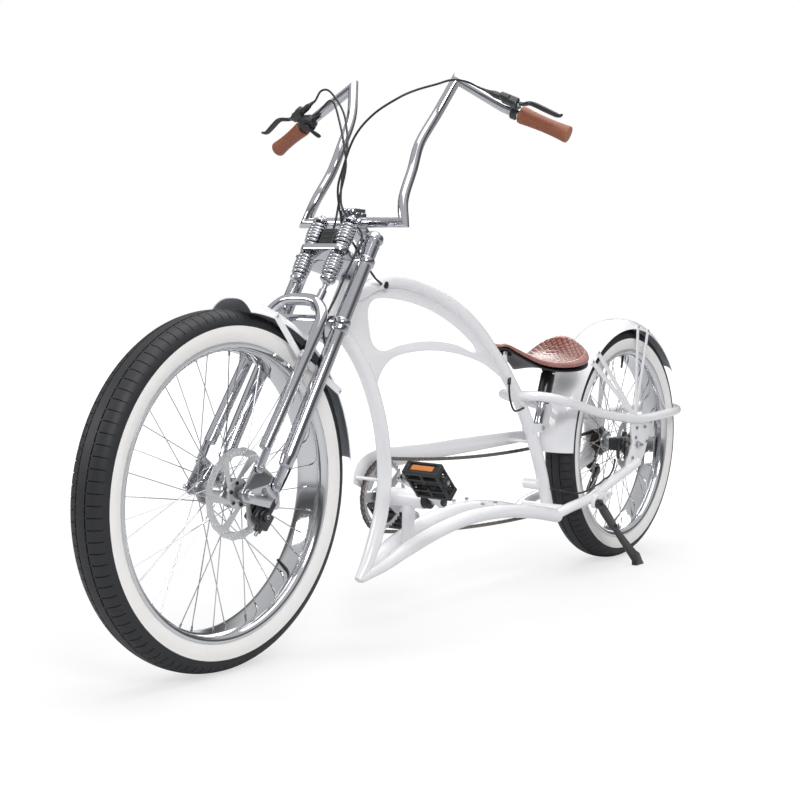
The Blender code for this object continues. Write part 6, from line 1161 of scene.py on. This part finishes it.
for sign, hand in ((1, "left"), (-1, "right")):
    angle = math.radians(24.5) + (0 if sign > 0 else math.pi)
    eye = CRANK + Vector((0.170 * math.cos(angle), 0, 0.170 * math.sin(angle)))
    bm = bmesh.new()
    lathe(bm, [(0.0850, 0.0), (0.0850, 0.0058), (0.0972, 0.0058), (0.0972, 0.0084), (0.1088, 0.0084), (0.1092, 0.0052),
               (0.2135, 0.0050), (0.2140, 0.0)], eye, (0, sign, 0), 0, 26)
    nut(bm, eye + Vector((0, sign * 0.0990, 0)), (0, sign, 0), 0.0088, 0.0050, 0)
    put("pedal_spindle_" + hand, bm, "crank", [STEEL], ["pedal_axle_" + hand], 34)
    bm = bmesh.new()
    centre = eye + Vector((0, sign * 0.1640, 0))
    lathe(bm, [(-0.0465, 0.0062), (-0.0465, 0.0110), (-0.0440, 0.0125), (-0.0300, 0.0104), (0.0300, 0.0104), (0.0440, 0.0125),
               (0.0462, 0.0110), (0.0465, 0.0)], centre, (0, sign, 0), 0, 30)
    for f in (-1, 1):
        for z in (-0.0135, 0.0135):
            brick(bm, centre + Vector((f * 0.0385, 0, z)), (0.0090, 0.0900, 0.0060), 0, bevel=0.0016, steps=2)
            for y in (-0.0405, 0.0405):
                brick(bm, centre + Vector((f * 0.0190, y, z)), (0.0450, 0.0070, 0.0060), 0, bevel=0.0016, steps=2)
            brick(bm, centre + Vector((f * 0.0175, 0, z)), (0.0060, 0.0800, 0.0050), 0, bevel=0.0012, steps=2)
            brick(bm, centre + Vector((f * 0.0230, 0, z)), (0.0320, 0.0070, 0.0050), 0, bevel=0.0012, steps=2)
        for y in (-0.0400, 0.0400):
            brick(bm, centre + Vector((f * 0.0370, y, 0)), (0.0110, 0.0120, 0.0320), 0, bevel=0.0026, steps=3)
            slant = Vector((f * 0.0270, 0, 0.0230)).normalized()
            for lean_z in (1, -1):
                run = Vector((slant.x, 0, slant.z * lean_z))
                brick(bm, centre + Vector((f * 0.0220, y, 0)), (0.0360, 0.0062, 0.0042), 0, run, (0, 1, 0), 0.0010, 2)
        brick(bm, centre + Vector((f * 0.0375, 0, 0)), (0.0040, 0.0720, 0.0240), 0, bevel=0.0010, steps=1)
        brick(bm, centre + Vector((f * 0.0402, 0, 0.0015)), (0.0016, 0.0560, 0.0135), 1, bevel=0.0006, steps=1)
        for k in range(7):
            for z in (-0.0168, 0.0168):
                rod(bm, centre + Vector((f * 0.0385, -0.0390 + 0.0130 * k, z * 0.94)), centre + Vector((f * 0.0385, -0.0390 + 0.0130 * k, z)),
                    0.0019, 0, 8, 0.0003)
    bm.transform(Matrix.Translation(eye) @ Matrix.Rotation(math.radians(-45.0), 4, "Y") @ Matrix.Translation(-eye))
    put("pedal_block_" + hand, bm, "pedal_" + hand, [PLASTIC, AMBER], ["pedal_" + hand], 34)

# Freewheel, derailleur and guide wheels
# Dark cogs on a turned body, a boxed derailleur with its knuckles and cage plates, and two toothed guide wheels.
bm = bmesh.new()
rear = at(-1.619, 0, 0.3253)
REAR_PLACE = Matrix(((1, 0, 0, rear.x), (0, 0, 1, 0), (0, 1, 0, rear.z), (0, 0, 0, 1)))
for k in range(4):
    teeth = 14 + 3 * k
    tip = pitch_circle(teeth) - 0.0045
    y = -0.0595 + 0.0070 * k
    slab(bm, gear(teeth, tip, tip - 0.0042), y - 0.0009, y + 0.0009, 0, [ring_points(0, 0, 0.0146, 36)], 0.0003, REAR_PLACE)
lathe(bm, [(-0.0640, 0.0123), (-0.0640, 0.0140), (-0.0632, 0.0147), (-0.0360, 0.0147), (-0.0356, 0.0123)], rear, (0, 1, 0), 0, 44)
put("freewheel_cogs", bm, "cassette", [DARK], ["cassette"], 34)

bm = bmesh.new()
upper, lower = (-1.640, 0.240), (-1.600, 0.185)
outer, inner = -0.0652, -0.0540
brick(bm, at(-1.6450, -0.0843, 0.2640), (0.0250, 0.0150, 0.0480), 0, bevel=0.0050, steps=4)
brick(bm, at(-1.6420, -0.0900, 0.2600), (0.0160, 0.0040, 0.0330), 1, bevel=0.0016)
rod(bm, at(-1.640, -0.0800, 0.237), at(-1.640, -0.0646, 0.237), 0.0075, 0, 26, 0.001)
rod(bm, at(-1.648, -0.0920, 0.2830), at(-1.648, -0.0766, 0.2830), 0.0058, 1, 22, 0.0008)
slab(bm, stadium([(*upper, 0.0108), (*lower, 0.0108)]), outer, outer + 0.0015, 1,
     [ring_points(-1.620, 0.2125, 0.0058, 20)], 0.0004)
slab(bm, stadium([(*upper, 0.0108), (*lower, 0.0108)]), inner - 0.0015, inner, 1,
     [ring_points(-1.620, 0.2125, 0.0058, 20)], 0.0004)
for x, z in (upper, lower):
    rod(bm, at(x, outer + 0.001, z), at(x, inner - 0.001, z), 0.0029, 1, 16)
    bolt_head(bm, at(x, outer + 0.0003, z), (0, -1, 0), 0.0040, 0.0012, 2)
put("derailleur_box", bm, "frame", [PLASTIC, BLACK, STEEL], ["derailleur"], 34)
for label, (x, z) in (("upper", upper), ("lower", lower)):
    bm = bmesh.new()
    place = Matrix(((1, 0, 0, x + AXLE_X), (0, 0, 1, 0), (0, 1, 0, z), (0, 0, 0, 1)))
    tip = pitch_circle(11) - 0.0044
    holes = [ring_points(0, 0, 0.0033, 18)]
    holes += [ring_points(0.0085 * math.cos(a), 0.0085 * math.sin(a), 0.0016, 10) for a in (0.4 + 2 * math.pi * k / 6 for k in range(6))]
    slab(bm, gear(11, tip, tip - 0.0030), -0.0608, -0.0582, 0, holes, 0.0004, place)
    put("guide_wheel_" + label, bm, "jockey_" + label, [PLASTIC], ["jockey_" + label], 34)

# Chain guard, kickstand and its bracket
# A white plate with eased edges over the chain's upper run; a black bent stand with a hinge bolt and a ribbed foot.
bm = bmesh.new()
guard = [(-0.5310, 0.308), (-0.5330, 0.330), (-0.5450, 0.352), (-0.5750, 0.368), (-0.6320, 0.380), (-0.6830, 0.378),
         (-0.8340, 0.376), (-0.9650, 0.378), (-1.2520, 0.376), (-1.2750, 0.362), (-1.2720, 0.348), (-1.0590, 0.341),
         (-0.9220, 0.338), (-0.7400, 0.334), (-0.6600, 0.326), (-0.6150, 0.308), (-0.5980, 0.288), (-0.5850, 0.284),
         (-0.5450, 0.300)]
slab(bm, flat_smooth(guard, 5), -0.0835, -0.0810, 0, (), 0.0008)
for x, z in ((-0.5385, 0.320), (-1.183, 0.358)):
    bolt_head(bm, at(x, -0.0834, z), (0, -1, 0), 0.0048, 0.0020, 1)
put("chain_guard_sheet", bm, "frame", [WHITE, STEEL], ["chain_guard"], 34)

bm = bmesh.new()
plate = [(-1.3370, 0.180), (-1.3370, 0.204), (-1.3560, 0.2130), (-1.4280, 0.2130), (-1.4310, 0.2040), (-1.3900, 0.1850), (-1.3620, 0.1780)]
slab(bm, flat_smooth(plate, 3), 0.0890, 0.1018, 0, (), 0.0014)
for x, z in ((-1.3800, 0.1985), (-1.4060, 0.2060)):
    bolt_head(bm, at(x, 0.0992, z), (0, 1, 0), 0.0046, 0.0028, 1)
put("stand_clamp", bm, "frame", [WHITE, STEEL], ["stand_bracket"], 34)
bm = bmesh.new()
lathe(bm, [(0.1024, 0.0), (0.1024, 0.0118), (0.1034, 0.0128), (0.1140, 0.0128), (0.1152, 0.0112), (0.1152, 0.0)],
      at(-1.345, 0, 0.190), (0, 1, 0), 0, 36)
bolt_head(bm, at(-1.345, 0.1150, 0.190), (0, 1, 0), 0.0060, 0.0030, 1)
stand = smooth([at(-1.345, 0.1100, 0.190), at(-1.3800, 0.1102, 0.1610), at(-1.4300, 0.1110, 0.1180)], 6)
tube(bm, stand, 0.0150, 0, 24, between([0.80, 1.0, 1.0, 0.86], len(stand)), squeeze=0.52, across=Vector((0, 1, 0)))
stand = smooth([at(-1.4180, 0.1120, 0.1290), at(-1.4500, 0.1140, 0.0980), at(-1.500, 0.1170, 0.0560), at(-1.5400, 0.1210, 0.0220)], 6)
tube(bm, stand, 0.0150, 0, 24, between([0.62, 0.74, 0.92, 1.12], len(stand)), squeeze=0.50, across=Vector((0, 1, 0)))
slab(bm, [(-1.5260, 0.0330), (-1.5310, 0.0240), (-1.5350, 0.0000), (-1.5800, 0.0000), (-1.5680, 0.0120), (-1.5500, 0.0340), (-1.5380, 0.0400)],
     0.1130, 0.1300, 0, (), 0.0024)
for k in range(5):
    brick(bm, at(-1.5410 - 0.0078 * k, 0.1215, 0.0012), (0.0030, 0.0160, 0.0022), 1, bevel=0.0005, steps=1)
bolt_head(bm, at(-1.4250, 0.1175, 0.1230), (0, 1, 0), 0.0062, 0.0020, 1)
put("kickstand_leg", bm, "kickstand", [BLACK, PLASTIC], ["kickstand"], 34)


# Disc calipers
# Black cast calipers over the discs, with their mounting ears, arms and bolts.
def caliper(name, body, axle, offset, mount, face, node):
    bm = bmesh.new()
    middle = 0.0510
    spot = Vector((axle.x + offset[0], middle, axle.z + offset[1]))
    toward = Vector((-offset[0], 0, -offset[1])).normalized()
    tangent = Vector((toward.z, 0, -toward.x))
    for low, high in ((0.0348, 0.0488), (0.0532, 0.0672)):
        centre = Vector((spot.x, (low + high) / 2, spot.z))
        brick(bm, centre, (0.0355, 0.0495, high - low), 0, tangent, toward, 0.0052, 4)
    bridge = spot - toward * 0.0205
    brick(bm, bridge, (0.0340, 0.0080, 0.0320), 0, tangent, toward, 0.0030)
    ear_start, ear_end = Vector((spot.x, 0, spot.z)), Vector((axle.x + mount[0], 0, axle.z + mount[1]))
    run = ear_end - ear_start
    low, high = middle + 0.006, face - 0.0003
    centre = (ear_start + ear_end) / 2 + Vector((0, (low + high) / 2, 0))
    across = run.normalized().cross(Vector((0, 1, 0)))
    brick(bm, centre, (0.0155, high - low, run.length + 0.0110), 0, across, (0, 1, 0), 0.0030)
    for t in (0.18, 0.82):
        spot_b = ear_start.lerp(ear_end, t)
        bolt_head(bm, spot_b + Vector((0, high - 0.0046, 0)), (0, 1, 0), 0.0042, 0.0042, 1)
    stub = spot - toward * 0.010 + Vector((0, 0.0092, 0))
    rod(bm, stub - tangent * 0.0170, stub - tangent * 0.0398, 0.0040, 0, 18)
    knob = Vector((spot.x, 0.0672, spot.z)) + toward * 0.004
    lathe(bm, [(0, 0.0150), (0.0040, 0.0150), (0.0060, 0.0136), (0.0060, 0.0105), (0.0110, 0.0098), (0.0110, 0.0)], knob, (0, 1, 0), 0, 28)
    bolt_head(bm, knob + Vector((0, 0.0108, 0)), (0, 1, 0), 0.0046, 0.0016, 1)
    arm_end = knob + Vector((0.0, 0.0080, 0.0)) - tangent * 0.0360
    brick(bm, (knob + arm_end) / 2 + Vector((0, 0.0040, 0)), (0.0440, 0.0110, 0.0050), 0, tangent, toward, 0.0020, 2)
    rod(bm, arm_end - Vector((0, 0.0060, 0)), arm_end + Vector((0, 0.0040, 0)), 0.0044, 1, 16)
    brick(bm, knob + Vector((0, 0.0015, 0)) + tangent * 0.0290, (0.0130, 0.0160, 0.0100), 0, tangent, toward, 0.0026, 3)
    rod(bm, knob + Vector((0, 0.0030, 0)) + tangent * 0.0340, knob + Vector((0, 0.0030, 0)) + tangent * 0.0440, 0.0036, 1, 16)
    put(name, bm, body, [BLACK, STEEL], [node], 34)


caliper("front_caliper_cast", "rocker", at(0, 0, 0.352), (-0.0600, -0.0520), (-0.0840, -0.0280), 0.0705, "front_caliper")
caliper("rear_caliper_cast", "frame", at(-1.619, 0, 0.3253), (0.0700, 0.0040), (0.0360, -0.0270), 0.0700, "rear_caliper")

# Saddle
# A dished leather cushion with a quilted scale pattern in the seat and a plain glossy rolled rim, on a black moulded pan.
STATIONS = [(-0.992, 0.016, 0.6165, 0.002, 0.007), (-1.012, 0.022, 0.6190, 0.003, 0.009),
            (-1.050, 0.028, 0.6090, 0.005, 0.013), (-1.100, 0.036, 0.5930, 0.006, 0.015),
            (-1.140, 0.050, 0.5830, 0.008, 0.018), (-1.180, 0.070, 0.5790, 0.010, 0.020),
            (-1.220, 0.089, 0.5810, 0.012, 0.021), (-1.255, 0.100, 0.5900, 0.016, 0.022),
            (-1.285, 0.099, 0.6090, 0.026, 0.022), (-1.305, 0.084, 0.6280, 0.032, 0.020),
            (-1.318, 0.055, 0.6320, 0.026, 0.016)]


def saddle_at(u):
    """The section values at a place along the saddle, from 0 at the nose to 1 at the back."""
    t = u * (len(STATIONS) - 1)
    k = min(int(t), len(STATIONS) - 2)
    t -= k
    made = []
    for j in range(5):
        a = STATIONS[max(k - 1, 0)][j]
        b, c = STATIONS[k][j], STATIONS[k + 1][j]
        d = STATIONS[min(k + 2, len(STATIONS) - 1)][j]
        made.append(0.5 * (2 * b + (c - a) * t + (2 * a - 5 * b + 4 * c - d) * t * t + (3 * b - a - 3 * c + d) * t ** 3))
    return made


SCALE_LONG, SCALE_WIDE = 0.0150, 0.0170
bm = bmesh.new()
lengthwise, around = 230, 160
rings = []
for k in range(lengthwise + 1):
    u = k / lengthwise
    x, half, top, drop, thick = saddle_at(u)
    ring = []
    for j in range(around):
        a = 2 * math.pi * (j + 0.5) / around
        c, s = math.cos(a), math.sin(a)
        y = half * math.copysign(abs(c) ** 0.62, c)
        lift_k = 0.5 + 0.5 * math.copysign(abs(s) ** 0.62, s)
        pull = 1 - 0.05 * (1 - lift_k)
        z = top - drop * (y / half) ** 2 - thick * (1 - lift_k)
        if s > 0:
            v = y / half
            seat = max(0.0, min(1.0, (u - 0.08) / 0.06)) * max(0.0, min(1.0, (0.96 - u) / 0.04))
            seat *= max(0.0, min(1.0, (0.78 - abs(v)) / 0.05))
            p, q = x / SCALE_LONG + y / SCALE_WIDE, x / SCALE_LONG - y / SCALE_WIDE
            cell = min(abs(p - round(p)), abs(q - round(q)))
            z += 0.0026 * seat * (min(1.0, (cell / 0.42) ** 0.6) - 1.0)
            seam = abs(abs(v) - 0.82)
            z -= 0.0012 * max(0.0, 1 - seam / 0.035) * (1 if 0.05 < u < 0.95 else 0)
        ring.append(at(x, y * pull, z))
    rings.append(ring)
nose, tail = rings[0], rings[-1]
for source, shift, where in ((nose, 0.0022, 0), (tail, -0.0016, len(rings))):
    middle = sum(source, Vector()) / len(source)
    tuck = [p.lerp(middle, 0.10) + Vector((shift * 0.7, 0, 0)) for p in source]
    tuck_2 = [p.lerp(middle, 0.35) + Vector((shift, 0, 0)) for p in source]
    if where == 0:
        rings = [tuck_2, tuck] + rings
    else:
        rings = rings + [tuck, tuck_2]
skin(bm, rings, 0)
for f in bm.faces:
    c = f.calc_center_median()
    x = c.x - AXLE_X
    near = min(range(len(STATIONS) - 1), key=lambda k: abs((STATIONS[k][0] + STATIONS[k + 1][0]) / 2 - x))
    a, b = STATIONS[near], STATIONS[near + 1]
    t = (x - a[0]) / (b[0] - a[0])
    half = a[1] + (b[1] - a[1]) * t
    if abs(c.y) > half * 0.815 or x > -1.002 or x < -1.306:
        f.material_index = 1
LEATHER = shade("seat_leather", "8c4637", "a65f4c", (0.24, 0.38), 0.0, 16, bump=0.08, grain=1.1, coat=0.35)
RIM = shade("rim_leather", "94605a", "a5736c", (0.20, 0.32), 0.0, 24, bump=0.35, grain=4.5, coat=0.5)
hide = LEATHER.node_tree
dyed = next(link for link in hide.links if link.to_socket.name == "Base Color")
plain_hide, colour_socket = dyed.from_socket, dyed.to_socket
where = hide.nodes.new("ShaderNodeTexCoord")
parts = hide.nodes.new("ShaderNodeSeparateXYZ")
hide.links.new(where.outputs["Object"], parts.inputs["Vector"])
gap = None
for sense in (1.0, -1.0):
    along = hide.nodes.new("ShaderNodeMath")
    along.operation = "MULTIPLY_ADD"
    along.inputs[1].default_value = 1.0 / SCALE_LONG
    along.inputs[2].default_value = -AXLE_X / SCALE_LONG
    hide.links.new(parts.outputs["X"], along.inputs[0])
    over = hide.nodes.new("ShaderNodeMath")
    over.operation = "MULTIPLY_ADD"
    over.inputs[1].default_value = sense / SCALE_WIDE
    hide.links.new(parts.outputs["Y"], over.inputs[0])
    hide.links.new(along.outputs["Value"], over.inputs[2])
    near = hide.nodes.new("ShaderNodeMath")
    near.operation = "PINGPONG"
    near.inputs[1].default_value = 0.5
    hide.links.new(over.outputs["Value"], near.inputs[0])
    if gap is None:
        gap = near
    else:
        least = hide.nodes.new("ShaderNodeMath")
        least.operation = "MINIMUM"
        hide.links.new(gap.outputs["Value"], least.inputs[0])
        hide.links.new(near.outputs["Value"], least.inputs[1])
        gap = least
rub = hide.nodes.new("ShaderNodeMapRange")
rub.inputs["From Min"].default_value = 0.06
rub.inputs["From Max"].default_value = 0.22
hide.links.new(gap.outputs["Value"], rub.inputs["Value"])
sewn = hide.nodes.new("ShaderNodeMix")
sewn.data_type = "RGBA"
sewn.inputs["A"].default_value = rgb("3a140f")
hide.links.new(rub.outputs["Result"], sewn.inputs["Factor"])
hide.links.new(plain_hide, sewn.inputs["B"])
hide.links.new(sewn.outputs["Result"], colour_socket)
cushion = put("saddle_cushion", bm, "saddle", [LEATHER, RIM], ["saddle_pad"], 60)

bm = bmesh.new()
rings = []
for k in range(91):
    u = 0.95 * k / 90
    x, half, top, drop, thick = saddle_at(u)
    half = half * 0.975
    ring = []
    for j in range(64):
        a = 2 * math.pi * (j + 0.5) / 64
        c, s = math.cos(a), math.sin(a)
        y = half * math.copysign(abs(c) ** 0.62, c)
        lift_k = 0.5 + 0.5 * math.copysign(abs(s) ** 0.62, s)
        z = top - drop * (y / half) ** 2 - thick - 0.0009 - 0.0072 * (1 - lift_k)
        ring.append(at(x, y * (1 - 0.04 * (1 - lift_k)), z))
    rings.append(ring)
skin(bm, rings, 0)
sx, sz = -1.012, 0.594
slab(bm, stadium([(sx, sz, 0.0058), (sx - 0.030, sz - 0.004, 0.0058)]), -0.0098, 0.0098, 0, [ring_points(sx, sz, 0.0033, 18)], 0.0010)
hx, hz = -1.250, 0.545
for sign in (1, -1):
    low, high = sorted((sign * 0.0125, sign * 0.0165))
    slab(bm, stadium([(hx, hz, 0.0100), (hx - 0.002, hz + 0.012, 0.0090)]), low, high, 0, (), 0.0008)
    nut(bm, at(hx, sign * 0.0165, hz), (0, sign, 0), 0.0066, 0.0034, 1)
rod(bm, at(hx, -0.0170, hz), at(hx, 0.0170, hz), 0.0038, 1, 20)
put("saddle_shell", bm, "saddle", [PLASTIC, STEEL], ["saddle_pan"], 50)

# Strut
# The polished shaft on the frame's clevis and the black sleeve above it, with end caps, a seal ring and an adjusting collar.
foot, top_pin = at(-1.198, 0, 0.395), at(-1.250, 0, 0.545)
lean = (top_pin - foot).normalized()
reach_l = (top_pin - foot).length
bm = bmesh.new()
rod(bm, foot - Vector((0, 0.0119, 0)), foot + Vector((0, 0.0119, 0)), 0.0104, 0, 32, 0.0010)
lathe(bm, [(0.0060, 0.0), (0.0060, 0.0085), (0.0110, 0.0119), (reach_l - 0.0690, 0.0119), (reach_l - 0.0682, 0.0110),
           (reach_l - 0.0682, 0.0)], foot, lean, 0, 36)
put("strut_rod", bm, "strut_shaft", [CHROME], ["strut_shaft"], 34)
bm = bmesh.new()
high = reach_l
lathe(bm, [(high - 0.0120, 0.0), (high - 0.0120, 0.0150), (high - 0.0132, 0.0178), (high - 0.0150, 0.0184), (high - 0.0300, 0.0184),
           (high - 0.0304, 0.0176), (high - 0.0316, 0.0176), (high - 0.0320, 0.0184), (high - 0.0760, 0.0184), (high - 0.0764, 0.0176),
           (high - 0.0780, 0.0176), (high - 0.0784, 0.0184), (high - 0.0880, 0.0184), (high - 0.0915, 0.0165), (high - 0.0920, 0.0150),
           (high - 0.0920, 0.0128), (high - 0.0380, 0.0128), (high - 0.0380, 0.0)], foot, lean, 0, 44)
rod(bm, foot + lean * (high - 0.0180), foot + lean * (high - 0.0060), 0.0088, 0, 28)
rod(bm, top_pin - Vector((0, 0.0119, 0)), top_pin + Vector((0, 0.0119, 0)), 0.0104, 0, 32, 0.0010)
put("strut_sleeve", bm, "strut_body", [BLACK], ["strut_body"], 34)
